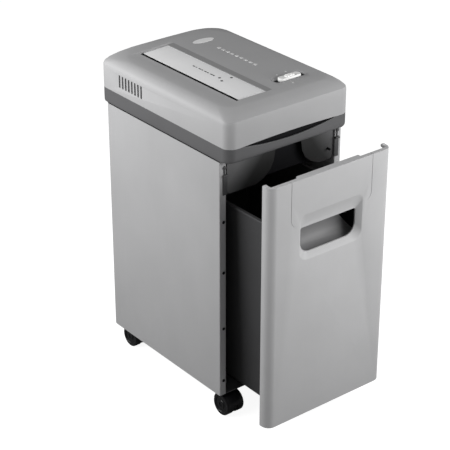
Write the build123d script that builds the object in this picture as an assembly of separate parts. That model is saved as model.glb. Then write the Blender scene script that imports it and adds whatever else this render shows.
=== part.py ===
from build123d import *

import math
import os

# Castor-mounted office paper shredder with a pull-out bin. Millimetres.
# +Z is up, +Y runs from the bin's front towards the rear, and the origin is on the floor,
# under the middle of the machine with its bin drawn out as far as it stands at rest.

# ---------------------------------------------------------------- driving dimensions
CABINET_WIDTH = 255.0
CABINET_DEPTH = 314.0
CABINET_BOTTOM = 48.0
CABINET_TOP = 480.0
SHEET = 1.0
REAR_CORNER_RADIUS = 14.0
FLANGE_WIDTH = 13.3
FLANGE_RETURN = 12.0
SCREW_HEIGHTS = (76.0, 177.0, 282.0, 374.0)

HEAD_WIDTH = 252.0
HEAD_LENGTH = 348.0
HEAD_OVERHANG = 20.5
HEAD_CORNER_RADIUS = 17.0
HOUSING_BOTTOM = 480.5
HOUSING_WALL = 3.0
HOUSING_TUCK = 4.0
COVER_BOTTOM = 506.0
COVER_SHOULDER = 551.0
COVER_RIM = 563.0
COVER_CROWN = 565.6
REAR_RIM_RISE = 10.4
FRONT_CROWN = 0.5
FLANK_BULGE = 2.2
SLOPE_SHARE = 0.6
COVER_WALL = 2.5
RIM_SIDE_INSET = 19.5
RIM_FRONT_INSET = 28.0
RIM_REAR_INSET = 13.0

BIN_STANDS_OPEN = 101.7
SHELL_DEPTH = 20.0
SHELL_WALL = 3.0
SHELL_BOTTOM = 44.3
SHELL_TOP = 479.0
SHELL_CORNER_RADIUS = 14.5

SLOT_X = -67.5
SLOT_GAP = 5.0
SLOT_START = 27.0
SLOT_LENGTH = 257.0

CUTTER_HEIGHT = 516.0
CUTTER_SPACING = 32.0
DISC_RADIUS = 19.0
SPACER_RADIUS = 12.0
DISC_PITCH = 6.0
DISC_COUNT = 42
DISC_WIDTH = 2.7
JOURNAL_RADIUS = 5.0

WHEEL_RADIUS = 20.0
CASTOR_WIDTH = 35.0
CASTOR_TRAIL = 18.0

RUNNING_CLEARANCE = 0.05
PRESSURE_ANGLE = math.radians(25)

# ---------------------------------------------------------------- places worked out
HEAD_FRONT = (BIN_STANDS_OPEN - HEAD_LENGTH) / 2
HEAD_REAR = HEAD_FRONT + HEAD_LENGTH
FRONT = HEAD_FRONT + HEAD_OVERHANG
REAR = FRONT + CABINET_DEPTH
SHELL_FRONT = HEAD_FRONT - BIN_STANDS_OPEN
SHELL_REAR = SHELL_FRONT + SHELL_DEPTH
HALF_CABINET = CABINET_WIDTH / 2
HALF_HEAD = HEAD_WIDTH / 2
PLATE_FRONT = FRONT + 22.0
PLATE_REAR = FRONT + 287.0
PLATE_THICK = 3.0
PLATE_X, PLATE_Z = (-112.0, 52.0), (484.0, 550.0)
CUTTER_A_X = SLOT_X - CUTTER_SPACING / 2
CUTTER_B_X = SLOT_X + CUTTER_SPACING / 2
CUTTER_START = FRONT + 30.0
GEAR_Y = PLATE_REAR + PLATE_THICK + 2.0

# ---------------------------------------------------------------- placed details
SCREW_X = 119.5
GLAND_X, GLAND_Z = -60.0, 440.0
GLAND_NECK, GLAND_BORE = 6.0, 3.8
HEADER_BOTTOM, HEADER_HALF = 420.0, 111.0
ARCH_X, ARCH_WIDTH, ARCH_NECK = 15.0, 132.0, 54.0
PLUNGER_X, PLUNGER_Z, PLUNGER_RADIUS = 100.0, 440.0, 2.0
SOCKET_NECK, STEM_RADIUS = 6.0, 4.0
CASTORS = {
    "front_left": (-99.0, FRONT + 30, -1),
    "front_right": (99.0, FRONT + 30, -1),
    "rear_left": (-91.0, FRONT + 271, 1),
    "rear_right": (91.0, FRONT + 271, 1),
}

SCOOP_HALF, SCOOP_DEPTH = 98.0, 9.0
ENTRY_X = (SLOT_X - SLOT_GAP / 2 - 2.5, -14.0)
ENTRY_Y = (FRONT + SLOT_START - 1.7, FRONT + SLOT_START + SLOT_LENGTH + 1.7)
SWITCH_X = (20.0, 88.0)
SWITCH_MID_Y = FRONT + 48
SWITCH_Y = (SWITCH_MID_Y - 9.5, SWITCH_MID_Y + 9.5)
SLIDER_X, SLIDER_LENGTH = 54.0, 44.0
THROAT_BOTTOM, THROAT_TOP = 538.0, 558.4
ENTRY_FALL, ENTRY_THICK, ENTRY_HIGH = 0.8, 2.2, 561.6
VENT_COUNT, VENT_PITCH, VENT_WIDTH = 8, 8.7, 4.4
BADGE_X = 45.0

BUSH_RADIUS = 8.0
TIE_RODS = ((-104.0, 542.0), (-104.0, 490.0), (-14.0, 542.0))
IDLER_ANGLE, MOTOR_ANGLE = -10.0, 15.0
IDLER_X = CUTTER_B_X + 42 * math.cos(math.radians(IDLER_ANGLE))
IDLER_Z = CUTTER_HEIGHT + 42 * math.sin(math.radians(IDLER_ANGLE))
MOTOR_X = IDLER_X + 29 * math.cos(math.radians(MOTOR_ANGLE))
MOTOR_Z = IDLER_Z + 29 * math.sin(math.radians(MOTOR_ANGLE))
MOTOR_LENGTH = 110.0
MOTOR_RADIUS, MOTOR_CAN_WALL, MOTOR_SHAFT = 29.0, 2.0, 3.0
MOTOR_START = PLATE_REAR - MOTOR_LENGTH
LEVER_Y = FRONT + SLOT_START + SLOT_LENGTH / 2
LEVER_PIVOT_X, LEVER_PIVOT_Z = SLOT_X + 16, 546.0

SEAM = 0.5
PANEL_HALF, NECK_HEIGHT = 84.0, 397.0
PANEL_REAR = SHELL_FRONT + 19.5
TOP_LEDGE = 11.0
EAR_X, EAR_RISE, EAR_DROP = 119.0, 0.8, 4.5
LOBE_HALF, LOBE_BOTTOM = 72.0, 328.0
OPENING_HALF, OPENING_TOP, OPENING_BOTTOM = 58.0, 390.0, 344.5
DISH_BOTTOM, DISH_TOP, DISH_HALF = 335.5, 416.0, 66.0
DISH_DEPTH, DISH_SLOPE = 8.0, 18.0
BIN_FRONT, BIN_REAR = SHELL_FRONT + SHELL_WALL + 9, SHELL_FRONT + 318
BIN_BOTTOM, BIN_TOP, BIN_WALL = 52.5, 394.0, 2.5
BIN_BOTTOM_HALF, BIN_TOP_HALF = 80.0, 94.0
BIN_SCREWS = ((-60.0, 90.0), (-60.0, 300.0), (60.0, 90.0), (60.0, 300.0))


def block(x, y, z):
    """A box from three (low, high) pairs."""
    size = [high - low for low, high in (x, y, z)]
    middle = [(high + low) / 2 for low, high in (x, y, z)]
    return Pos(*middle) * Box(*size)


def rod(axis, start, radius, length):
    """A cylinder that leaves the point start along +X, +Y or +Z."""
    turn = {"X": (0, 90, 0), "Y": (-90, 0, 0), "Z": (0, 0, 0)}[axis]
    along = (Align.CENTER, Align.CENTER, Align.MIN)
    return Pos(*start) * (Rot(*turn) * Cylinder(radius, length, align=along))


def tube(axis, start, outer, inner, length):
    """A round tube that leaves the point start along an axis."""
    return rod(axis, start, outer, length) - rod(axis, start, inner, length)


def rounded_outline(width, low_y, high_y, radius):
    """A rounded rectangle on the floor plane, centred on X."""
    face = RectangleRounded(width, high_y - low_y, radius)
    return Pos(0, (low_y + high_y) / 2, 0) * face


def prism(face, low_z, high_z):
    """A flat face on the floor plane, raised to stand between two heights."""
    return extrude(Pos(0, 0, low_z) * face, high_z - low_z)


def upright(points, low_y, high_y):
    """A polygon of (x, z) points, extruded along Y."""
    outline = [Vector(x, low_y, z) for x, z in points]
    face = make_face(Polyline(*outline, close=True))
    return extrude(face, high_y - low_y, dir=(0, 1, 0))


def pan_screw(x, y, z, head_radius, head_height, shank_radius, shank):
    """A pan-head screw along +Y, its head in front of the plane at y."""
    top = y - head_height
    head = rod("Y", (x, top, z), head_radius, head_height)
    cross = block((x - 1.6, x + 1.6), (top, top + 0.7), (z - 0.35, z + 0.35))
    cross += block((x - 0.35, x + 0.35), (top, top + 0.7), (z - 1.6, z + 1.6))
    return head - cross + rod("Y", (x, y, z), shank_radius, shank)


def gear(module, teeth, start, width, bore_radius, turn_degrees):
    """An involute spur gear on an axis along +Y; at turn 0 a tooth points along +X."""
    pitch = module * teeth / 2
    base = pitch * math.cos(PRESSURE_ANGLE)
    tip = pitch + 0.9 * module
    root = pitch - 1.2 * module
    backlash = 0.07 * module

    def half_angle(radius):
        roll = math.acos(min(1.0, base / radius))
        involute = math.tan(roll) - roll
        at_pitch = math.tan(PRESSURE_ANGLE) - PRESSURE_ANGLE
        return math.pi / (2 * teeth) - backlash / pitch + at_pitch - involute

    low = max(base, root)
    radii = [low + (tip - low) * step / 4 for step in range(5)]
    outline = []
    for tooth in range(teeth):
        middle = 2 * math.pi * tooth / teeth + math.radians(turn_degrees)
        flank = [(root, -half_angle(low) * 1.04)] if root < low else []
        flank += [(radius, -half_angle(radius)) for radius in radii]
        flank += [(radius, -angle) for radius, angle in reversed(flank)]
        for radius, angle in flank:
            x = start[0] + radius * math.cos(middle + angle)
            z = start[2] + radius * math.sin(middle + angle)
            outline.append((x, z))
    wheel = upright(outline, start[1], start[1] + width)
    return wheel - rod("Y", (start[0], start[1] - 1, start[2]), bore_radius, width + 2)


# ---------------------------------------------------------------- cabinet
def cabinet_wrap():
    """One folded sheet: both sides, the rear with round corners, and the front flanges."""
    outer = rounded_outline(CABINET_WIDTH, FRONT - 40, REAR, REAR_CORNER_RADIUS)
    inner = rounded_outline(
        CABINET_WIDTH - 2 * SHEET, FRONT - 40 + SHEET, REAR - SHEET, REAR_CORNER_RADIUS - SHEET
    )
    wall = prism(outer, CABINET_BOTTOM, CABINET_TOP) - prism(inner, CABINET_BOTTOM, CABINET_TOP)
    wall -= block((-200, 200), (FRONT - 50, FRONT), (0, 600))
    for side in (-1, 1):
        edges = sorted((side * (HALF_CABINET - FLANGE_WIDTH), side * (HALF_CABINET - SHEET / 2)))
        wall += block(edges, (FRONT, FRONT + SHEET), (CABINET_BOTTOM, CABINET_TOP))
        lip = sorted((side * (HALF_CABINET - FLANGE_WIDTH), side * (HALF_CABINET - FLANGE_WIDTH + SHEET)))
        wall += block(lip, (FRONT, FRONT + FLANGE_RETURN), (CABINET_BOTTOM + 4, CABINET_TOP - 1))
        for height in SCREW_HEIGHTS:
            wall -= rod("Y", (side * SCREW_X, FRONT - 1, height), 1.6, 3)
    wall -= rod("Y", (GLAND_X, REAR - 5, GLAND_Z), GLAND_NECK + 0.1, 10)
    return wall


def base_plate():
    """Pressed floor of the cabinet, with a hole over each castor stem."""
    inner = rounded_outline(
        CABINET_WIDTH - 2 * SHEET - 0.2, FRONT - 40, REAR - SHEET - 0.1, REAR_CORNER_RADIUS - SHEET
    )
    plate = prism(inner, CABINET_BOTTOM, CABINET_BOTTOM + 1.5)
    plate -= block((-200, 200), (FRONT - 60, FRONT + SHEET), (0, 100))
    plate += block((-112, 112), (FRONT, FRONT + SHEET), (CABINET_BOTTOM, CABINET_BOTTOM + 1.5))
    for x, y, _ in CASTORS.values():
        plate -= rod("Z", (x, y, 40), SOCKET_NECK + 0.1, 20)
    return plate


def header_plate():
    """Plate across the top of the cabinet mouth, with an arched sight opening."""
    low, high = HEADER_BOTTOM, CABINET_TOP - 0.5
    plate = block((-HEADER_HALF, HEADER_HALF), (FRONT + 2, FRONT + 3.5), (low, high))
    plate = fillet(plate.edges().filter_by(Axis.Y).group_by(Axis.Z)[0], 14)
    plate += block((-HEADER_HALF, HEADER_HALF), (FRONT + 2, FRONT + 17), (high - 1.5, high))
    half = ARCH_WIDTH / 2
    arch = Polyline((-half, low - 1), (half, low - 1), (half, low))
    arch += Spline(
        (half, low), (ARCH_NECK / 2 + 6, low + 22), (ARCH_NECK / 2, high - 10),
        tangents=((-1, 0.5), (0, 1)),
    )
    arch += Line((ARCH_NECK / 2, high - 10), (-ARCH_NECK / 2, high - 10))
    arch += Spline(
        (-ARCH_NECK / 2, high - 10), (-ARCH_NECK / 2 - 6, low + 22), (-half, low),
        tangents=((0, -1), (-1, -0.5)),
    )
    arch += Line((-half, low), (-half, low - 1))
    cutter = extrude(Plane.XZ.offset(-FRONT - 10) * make_face(arch), 10, both=True)
    plate -= Pos(ARCH_X, 0, 0) * cutter
    plate -= rod("Y", (PLUNGER_X, FRONT, PLUNGER_Z), PLUNGER_RADIUS + RUNNING_CLEARANCE, 5)
    return plate


def flange_screws():
    """Eight pan-head screws in the front flanges."""
    return [
        pan_screw(side * SCREW_X, FRONT, height, 2.7, 1.4, 1.5, 4)
        for side in (-1, 1)
        for height in SCREW_HEIGHTS
    ]


def top_brackets():
    """Folded brackets that tie the flanges' tops to the header plate."""
    pieces = []
    for side in (-1, 1):
        ear = sorted((side * 112.5, side * 121.5))
        piece = block(ear, (FRONT - 1.5, FRONT), (422, 458))
        piece += block(ear, (FRONT - 5, FRONT), (455, 458))
        piece += rod("Y", (side * 118.0, FRONT - 3.2, 470), 2.6, 3.2)
        piece += block(sorted((side * 116.5, side * 119.5)), (FRONT - 1.2, FRONT), (456, 470))
        pieces.append(piece)
    return pieces


def base_runners():
    """Two low rails on the base plate that the bin's glides run along."""
    low = CABINET_BOTTOM + 1.5
    return [
        block(sorted((side * 60, side * 66)), (FRONT + 6, FRONT + 300), (low, low + 1.2))
        + block(sorted((side * 64.5, side * 66)), (FRONT + 6, FRONT + 300), (low, low + 2.6))
        for side in (-1, 1)
    ]


def castor_sockets():
    """Flanged steel sockets pressed through the base plate, one over each castor."""
    pieces = []
    for x, y, _ in CASTORS.values():
        piece = rod("Z", (x, y, CABINET_BOTTOM + 1.5), SOCKET_NECK + 1.5, 24)
        piece += rod("Z", (x, y, CABINET_BOTTOM), SOCKET_NECK, 2)
        piece -= rod("Z", (x, y, CABINET_BOTTOM - 1), STEM_RADIUS + RUNNING_CLEARANCE, 22.5)
        pieces.append(piece)
    return pieces


def cord_gland():
    """Round bush through the rear sheet, where a mains lead would enter."""
    gland = rod("Y", (GLAND_X, REAR, GLAND_Z), GLAND_NECK + 3, 3)
    gland += rod("Y", (GLAND_X, REAR + 3, GLAND_Z), GLAND_NECK + 1, 6)
    gland += rod("Y", (GLAND_X, REAR - 5, GLAND_Z), GLAND_NECK, 5)
    gland -= rod("Y", (GLAND_X, REAR - 6, GLAND_Z), GLAND_BORE, 16)
    return gland


# ---------------------------------------------------------------- head
def housing_floor_opening():
    return block((-111, -24), (FRONT + 12, FRONT + 304), (HOUSING_BOTTOM - 5, HOUSING_BOTTOM + 8))


def lower_housing():
    """Dark lower half of the head: a tray with a finger scoop in its front wall."""
    outer = rounded_outline(HEAD_WIDTH, HEAD_FRONT, HEAD_REAR, HEAD_CORNER_RADIUS)
    inner = rounded_outline(
        HEAD_WIDTH - 2 * HOUSING_WALL,
        HEAD_FRONT + HOUSING_WALL,
        HEAD_REAR - HOUSING_WALL,
        HEAD_CORNER_RADIUS - HOUSING_WALL,
    )
    tray = prism(outer, HOUSING_BOTTOM, COVER_BOTTOM)
    low_edges = tray.faces().sort_by(Axis.Z)[0].edges()
    front_edges = [edge for edge in low_edges if edge.center().Y < HEAD_FRONT + HEAD_CORNER_RADIUS / 2]
    tray = chamfer(front_edges, HOUSING_TUCK)
    tray -= prism(inner, HOUSING_BOTTOM + HOUSING_WALL, COVER_BOTTOM)
    tray -= housing_floor_opening()
    radius = (SCOOP_HALF**2 + SCOOP_DEPTH**2) / (2 * SCOOP_DEPTH)
    scoop = rod("Y", (0, HEAD_FRONT - 1, COVER_BOTTOM + radius - SCOOP_DEPTH), radius, HOUSING_WALL + 2)
    tray -= scoop & block((-HALF_HEAD, HALF_HEAD), (HEAD_FRONT - 2, HEAD_FRONT + 10), (480, 512))
    return tray


def crown_section(y, rim_rise, middle_rise, drop):
    """A cross-section of the head's top on a plane across Y, with its crown above the shoulders."""
    half, rim_half = HALF_HEAD - drop, HALF_HEAD - RIM_SIDE_INSET
    low, shoulder = COVER_BOTTOM, COVER_SHOULDER - drop * SLOPE_SHARE
    rim, middle = COVER_SHOULDER + rim_rise - drop, COVER_SHOULDER + middle_rise - drop
    left_flank, right_flank = (-(half + rim_half) / 2, y), ((half + rim_half) / 2, y)
    flank_height = (shoulder + rim) / 2 + FLANK_BULGE * rim_rise / middle_rise
    edges = Polyline((-half, y, shoulder), (-half, y, low), (half, y, low), (half, y, shoulder))
    edges += ThreePointArc((half, y, shoulder), (*right_flank, flank_height), (rim_half, y, rim))
    edges += ThreePointArc((rim_half, y, rim), (0, y, middle), (-rim_half, y, rim))
    edges += ThreePointArc((-rim_half, y, rim), (*left_flank, flank_height), (-half, y, shoulder))
    return make_face(edges)


def end_slope(y_low, y_high, rise):
    """The wedge of space above a slope that climbs from a shoulder edge to the rim along Y."""
    reach = 3.0
    low, high = COVER_SHOULDER, COVER_SHOULDER + rise
    steep = (high - low) / (y_high - y_low)
    points = [(y_low - reach * math.copysign(1, y_high - y_low), low - abs(steep) * reach)]
    points += [(y_high + (y_high - y_low), high + (high - low)), (points[0][0], high + (high - low))]
    face = make_face(Polyline(*[Vector(-HEAD_WIDTH, y, z) for y, z in points], close=True))
    return extrude(face, 2 * HEAD_WIDTH, dir=(1, 0, 0))


def head_form(inset):
    """The cover's solid outer form, or the same form shrunk by a wall thickness."""
    outline = rounded_outline(
        HEAD_WIDTH - 2 * inset, HEAD_FRONT + inset, HEAD_REAR - inset, HEAD_CORNER_RADIUS - inset
    )
    front_rise = COVER_RIM - COVER_SHOULDER
    front = crown_section(HEAD_FRONT - 1, front_rise, front_rise + FRONT_CROWN, inset)
    rear = crown_section(HEAD_REAR + 1, REAR_RIM_RISE, COVER_CROWN - COVER_SHOULDER, inset)
    form = loft([front, rear], ruled=True) & prism(outline, COVER_BOTTOM, COVER_CROWN + 10)
    lift = Pos(0, 0, -inset)
    form -= lift * end_slope(HEAD_FRONT, HEAD_FRONT + RIM_FRONT_INSET, COVER_RIM - COVER_SHOULDER)
    form -= lift * end_slope(HEAD_REAR, HEAD_REAR - RIM_REAR_INSET, COVER_CROWN - COVER_SHOULDER)
    return form


def top_cover():
    """Silver upper half of the head, with openings for the slot, switch and vents."""
    skirt = rounded_outline(
        HEAD_WIDTH - 2 * COVER_WALL,
        HEAD_FRONT + COVER_WALL,
        HEAD_REAR - COVER_WALL,
        HEAD_CORNER_RADIUS - COVER_WALL,
    )
    cover = head_form(0) - head_form(COVER_WALL)
    cover -= prism(skirt, COVER_BOTTOM - 1, COVER_BOTTOM + 1)
    cover -= block(ENTRY_X, ENTRY_Y, (550, 600))
    cover -= block(SWITCH_X, SWITCH_Y, (550, 600))
    for side in (-1, 1):
        for slot in range(VENT_COUNT):
            y = FRONT + 206 + slot * VENT_PITCH
            span = sorted((side * (HALF_HEAD - 8), side * (HALF_HEAD + 2)))
            cover -= block(span, (y, y + VENT_WIDTH), (518.5, 541))
    return cover


def entry_plate():
    """Recessed silver tray beside the slot, its floor falling towards the slot."""
    low_x = SLOT_X + SLOT_GAP / 2
    high_x = ENTRY_X[1] - 0.2
    low_y, high_y = ENTRY_Y[0] + 0.2, ENTRY_Y[1] - 0.2
    low_z, under = ENTRY_HIGH - ENTRY_FALL, ENTRY_HIGH - ENTRY_THICK
    floor = [(low_x, low_z - ENTRY_THICK), (high_x, under), (high_x, ENTRY_HIGH), (low_x, low_z)]
    plate = upright(floor, low_y, high_y)
    plate += block((high_x - 1.5, high_x), (low_y, high_y), (under, ENTRY_HIGH + 0.9))
    for y in (low_y, high_y - 1.5):
        plate += block((low_x, high_x), (y, y + 1.5), (under, ENTRY_HIGH + 0.2))
    return plate


def throat_guide():
    """Black liner below the slot that steers paper to the cutters' nip."""
    low_y, high_y = ENTRY_Y[0] + 0.2, ENTRY_Y[1] - 0.2
    left_x, right_x = ENTRY_X[0] + 0.2, SLOT_X + 6
    guide = block((left_x, SLOT_X - SLOT_GAP / 2), (low_y, high_y), (THROAT_BOTTOM, THROAT_TOP + 1.6))
    guide += block((SLOT_X + SLOT_GAP / 2, right_x), (low_y, high_y), (THROAT_BOTTOM, THROAT_TOP))
    for y in (low_y, high_y - 1.5):
        guide += block((left_x, right_x), (y, y + 1.5), (THROAT_BOTTOM, THROAT_TOP))
    guide -= block((SLOT_X - 12, SLOT_X + 12), (LEVER_Y - 5, LEVER_Y + 5), (530, 552))
    return guide


def switch_bezel():
    """Dark recessed tray that the power slider moves in."""
    x = (SWITCH_X[0] + 0.2, SWITCH_X[1] - 0.2)
    y = (SWITCH_Y[0] + 0.2, SWITCH_Y[1] - 0.2)
    tray = block(x, y, (555, 565.2))
    tray -= block((x[0] + 1.5, x[1] - 1.5), (y[0] + 1.5, y[1] - 1.5), (558, 570))
    tray -= block((SLIDER_X - 14, SLIDER_X + 14), (SWITCH_MID_Y - 2.2, SWITCH_MID_Y + 2.2), (550, 560))
    return tray


def switch_slider():
    """White oblong slider with a grip crown and a tail into the switch."""
    half = SLIDER_LENGTH / 2
    body = block((SLIDER_X - half, SLIDER_X + half), (SWITCH_MID_Y - 7, SWITCH_MID_Y + 7), (558.3, 566))
    body = fillet(body.edges().filter_by(Axis.Z), 5)
    body = fillet(body.faces().sort_by(Axis.Z)[-1].edges(), 1.2)
    grip = block((SLIDER_X - 9, SLIDER_X + 9), (SWITCH_MID_Y - 4, SWITCH_MID_Y + 4), (565, 568))
    grip = fillet(grip.edges().filter_by(Axis.Z), 3.5)
    tail = block((SLIDER_X - 4, SLIDER_X + 4), (SWITCH_MID_Y - 1.8, SWITCH_MID_Y + 1.8), (549, 560))
    return body + grip + tail


def switch_body():
    """Three-way switch under the slider, slotted for its tail."""
    x, y = (SLIDER_X - 20, SLIDER_X + 20), (SWITCH_MID_Y - 7, SWITCH_MID_Y + 7)
    body = block(x, y, (532, 554.8))
    body -= block((SLIDER_X - 14, SLIDER_X + 14), (SWITCH_MID_Y - 2.2, SWITCH_MID_Y + 2.2), (546, 556))
    for step in (-12, 0, 12):
        middle = SLIDER_X + step
        body += block((middle - 2, middle + 2), (SWITCH_MID_Y - 0.5, SWITCH_MID_Y + 0.5), (524, 533))
    return body


def badge():
    """Blank oval plate let into the cover's top."""
    face = Pos(BADGE_X, FRONT + 263, 0) * Ellipse(23, 9)
    return prism(face, COVER_RIM - 1, COVER_CROWN + 2) & badge_skin()


def name_strip():
    """Blank narrow strip let into the cover's top."""
    face = Pos(BADGE_X, FRONT + 172, 0) * SlotOverall(104, 8, rotation=90)
    return prism(face, COVER_RIM - 1, COVER_CROWN + 2) & badge_skin()


def badge_skin():
    """A thin layer that lies on the cover's crown."""
    return Pos(0, 0, 0.35) * head_form(0) - head_form(0)


def head_screws():
    """Four screws up through the housing floor into the cabinet's header and rear."""
    pieces = []
    for x in (-100, 100):
        for y in (FRONT - 9, HEAD_REAR - 9):
            pieces.append(rod("Z", (x, y, HOUSING_BOTTOM + 3), 3.5, 2.2))
    return pieces


# ---------------------------------------------------------------- mechanism
def frame_plate(low_y):
    """Steel end plate that carries the cutter shafts."""
    plate = block(PLATE_X, (low_y, low_y + PLATE_THICK), PLATE_Z)
    for x in (CUTTER_A_X, CUTTER_B_X):
        plate -= rod("Y", (x, low_y - 1, CUTTER_HEIGHT), BUSH_RADIUS, PLATE_THICK + 2)
    for x, z in TIE_RODS:
        plate -= rod("Y", (x, low_y - 1, z), 3.0, PLATE_THICK + 2)
    return plate


def cutter_frame_front():
    return frame_plate(PLATE_FRONT)


def cutter_frame_rear():
    """Rear end plate, also pierced for the motor shaft and the idler's axle."""
    plate = frame_plate(PLATE_REAR)
    plate -= rod("Y", (MOTOR_X, PLATE_REAR - 1, MOTOR_Z), 6, PLATE_THICK + 2)
    plate -= rod("Y", (IDLER_X, PLATE_REAR - 1, IDLER_Z), 3.0, PLATE_THICK + 2)
    return plate


def tie_rods():
    """Round rods with nuts that hold the end plates apart."""
    pieces = []
    span = PLATE_REAR - PLATE_FRONT
    for x, z in TIE_RODS:
        piece = rod("Y", (x, PLATE_FRONT - 3, z), 3.0, span + PLATE_THICK + 6)
        piece += tube("Y", (x, PLATE_FRONT + PLATE_THICK, z), 4.5, 2.0, span - PLATE_THICK)
        for y in (PLATE_FRONT - 3, PLATE_REAR + PLATE_THICK):
            nut = extrude(Plane.XZ.offset(-y) * RegularPolygon(5, 6), -3)
            piece += Pos(x, 0, z) * nut
        pieces.append(piece)
    return pieces


def cutter_bearings():
    """Four plain bushes, two in each end plate."""
    return [
        tube("Y", (x, y, CUTTER_HEIGHT), BUSH_RADIUS, JOURNAL_RADIUS + RUNNING_CLEARANCE, PLATE_THICK)
        for x in (CUTTER_A_X, CUTTER_B_X)
        for y in (PLATE_FRONT, PLATE_REAR)
    ]


def cutter_shaft(x, disc_offset, rear_end):
    """A shaft turned with cutting discs between spacers."""
    start, end = PLATE_FRONT - 14, rear_end
    points = [(0, start), (JOURNAL_RADIUS, start), (JOURNAL_RADIUS, PLATE_FRONT + PLATE_THICK + 1)]
    points.append((SPACER_RADIUS, PLATE_FRONT + PLATE_THICK + 1))
    for index in range(DISC_COUNT):
        low = CUTTER_START + index * DISC_PITCH + disc_offset
        high = low + DISC_WIDTH
        points += [(SPACER_RADIUS, low), (DISC_RADIUS, low), (DISC_RADIUS, high), (SPACER_RADIUS, high)]
    points += [(SPACER_RADIUS, PLATE_REAR - 1), (JOURNAL_RADIUS, PLATE_REAR - 1)]
    points += [(JOURNAL_RADIUS, end), (0, end)]
    face = make_face(Polyline(*[Vector(radius, y, 0) for radius, y in points], close=True))
    return Pos(x, 0, CUTTER_HEIGHT) * revolve(face, Axis.Y)


def cutter_shaft_a():
    return cutter_shaft(CUTTER_A_X, 0.0, PLATE_REAR + PLATE_THICK + 1)


def cutter_shaft_b():
    return cutter_shaft(CUTTER_B_X, DISC_PITCH / 2, GEAR_Y + 12)


def sync_gear_a():
    start = (CUTTER_A_X, PLATE_FRONT - 13, CUTTER_HEIGHT)
    return gear(2.0, 16, start, 10, JOURNAL_RADIUS, 0)


def sync_gear_b():
    start = (CUTTER_B_X, PLATE_FRONT - 13, CUTTER_HEIGHT)
    return gear(2.0, 16, start, 10, JOURNAL_RADIUS, 180 + 180 / 16)


def stripper(side, shaft_x, disc_offset):
    """A comb whose fingers reach between one shaft's discs."""
    spine, back, tip = shaft_x + side * 24, shaft_x + side * 21, shaft_x + side * 12.6
    low, high = PLATE_FRONT + PLATE_THICK, PLATE_REAR
    points = [(back, low), (spine, low), (spine, high), (back, high)]
    for index in reversed(range(DISC_COUNT - 1)):
        start = CUTTER_START + index * DISC_PITCH + disc_offset + 3.1
        end = start + 2.4
        points += [(back, end), (tip, end), (tip, start), (back, start)]
    face = make_face(Polyline(*[Vector(x, y, 0) for x, y in points], close=True))
    return prism(face, CUTTER_HEIGHT - 7, CUTTER_HEIGHT + 7)


def stripper_left():
    return stripper(-1, CUTTER_A_X, 0.0)


def stripper_right():
    return stripper(1, CUTTER_B_X, DISC_PITCH / 2)


def output_gear():
    start = (CUTTER_B_X, GEAR_Y, CUTTER_HEIGHT)
    return gear(1.5, 42, start, 9, JOURNAL_RADIUS, IDLER_ANGLE)


def idler_gear():
    """Compound gear: a small wheel drives the output gear, a large one meets the pinion."""
    bore = 3 + RUNNING_CLEARANCE
    small = gear(1.5, 14, (IDLER_X, GEAR_Y, IDLER_Z), 10, bore, IDLER_ANGLE + 180 + 180 / 14)
    large = gear(1.0, 46, (IDLER_X, GEAR_Y + 10, IDLER_Z), 7, bore, MOTOR_ANGLE)
    return small + large


def idler_axle():
    """Fixed axle riveted to the rear end plate, with a collar that keeps the idler on."""
    axle = rod("Y", (IDLER_X, PLATE_REAR, IDLER_Z), 3.0, GEAR_Y + 19.5 - PLATE_REAR)
    axle += rod("Y", (IDLER_X, GEAR_Y + 17.5, IDLER_Z), 5.0, 2)
    return axle


def motor_pinion():
    start = (MOTOR_X, GEAR_Y + 10, MOTOR_Z)
    return gear(1.0, 12, start, 8, 2.5, MOTOR_ANGLE + 180 + 180 / 12)


def motor_housing():
    """Steel can with closed ends, bored for the rotor's shaft."""
    can = tube(
        "Y", (MOTOR_X, MOTOR_START, MOTOR_Z), MOTOR_RADIUS, MOTOR_RADIUS - MOTOR_CAN_WALL, MOTOR_LENGTH
    )
    for y in (MOTOR_START, MOTOR_START + MOTOR_LENGTH - 3):
        can += tube("Y", (MOTOR_X, y, MOTOR_Z), MOTOR_RADIUS - 1.5, MOTOR_SHAFT + RUNNING_CLEARANCE, 3)
    return can


def motor_rotor():
    """Armature, commutator and shaft."""
    rotor = rod("Y", (MOTOR_X, MOTOR_START - 22, MOTOR_Z), MOTOR_SHAFT, MOTOR_LENGTH + 23)
    rotor += rod("Y", (MOTOR_X, MOTOR_START + MOTOR_LENGTH, MOTOR_Z), 2.5, GEAR_Y + 19 - PLATE_REAR)
    rotor += rod("Y", (MOTOR_X, MOTOR_START + 22, MOTOR_Z), 21, 62)
    rotor += rod("Y", (MOTOR_X, MOTOR_START + 6, MOTOR_Z), 10, 12)
    return rotor


def motor_fan():
    """Eight-bladed cooling fan on the rotor's free end."""
    start = MOTOR_START - 18
    fan = tube("Y", (MOTOR_X, start, MOTOR_Z), 7, MOTOR_SHAFT, 12)
    fan += tube("Y", (MOTOR_X, start, MOTOR_Z), 25, 6, 1.5)
    for blade in range(8):
        vane = block((6, 25), (start, start + 11), (-0.6, 0.6))
        fan += Pos(MOTOR_X, 0, MOTOR_Z) * (Rot(0, 45 * blade, 0) * vane)
    return fan


def motor_bracket():
    """Folded foot that holds the motor can's front end."""
    y = MOTOR_START + 8
    plate = block((MOTOR_X - 34, MOTOR_X + 34), (y, y + 2), (HOUSING_BOTTOM + 3, 520))
    plate += block((MOTOR_X - 34, MOTOR_X + 34), (y, y + 16), (HOUSING_BOTTOM + 3, HOUSING_BOTTOM + 5))
    return plate - rod("Y", (MOTOR_X, y - 5, MOTOR_Z), MOTOR_RADIUS, 30)


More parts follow.
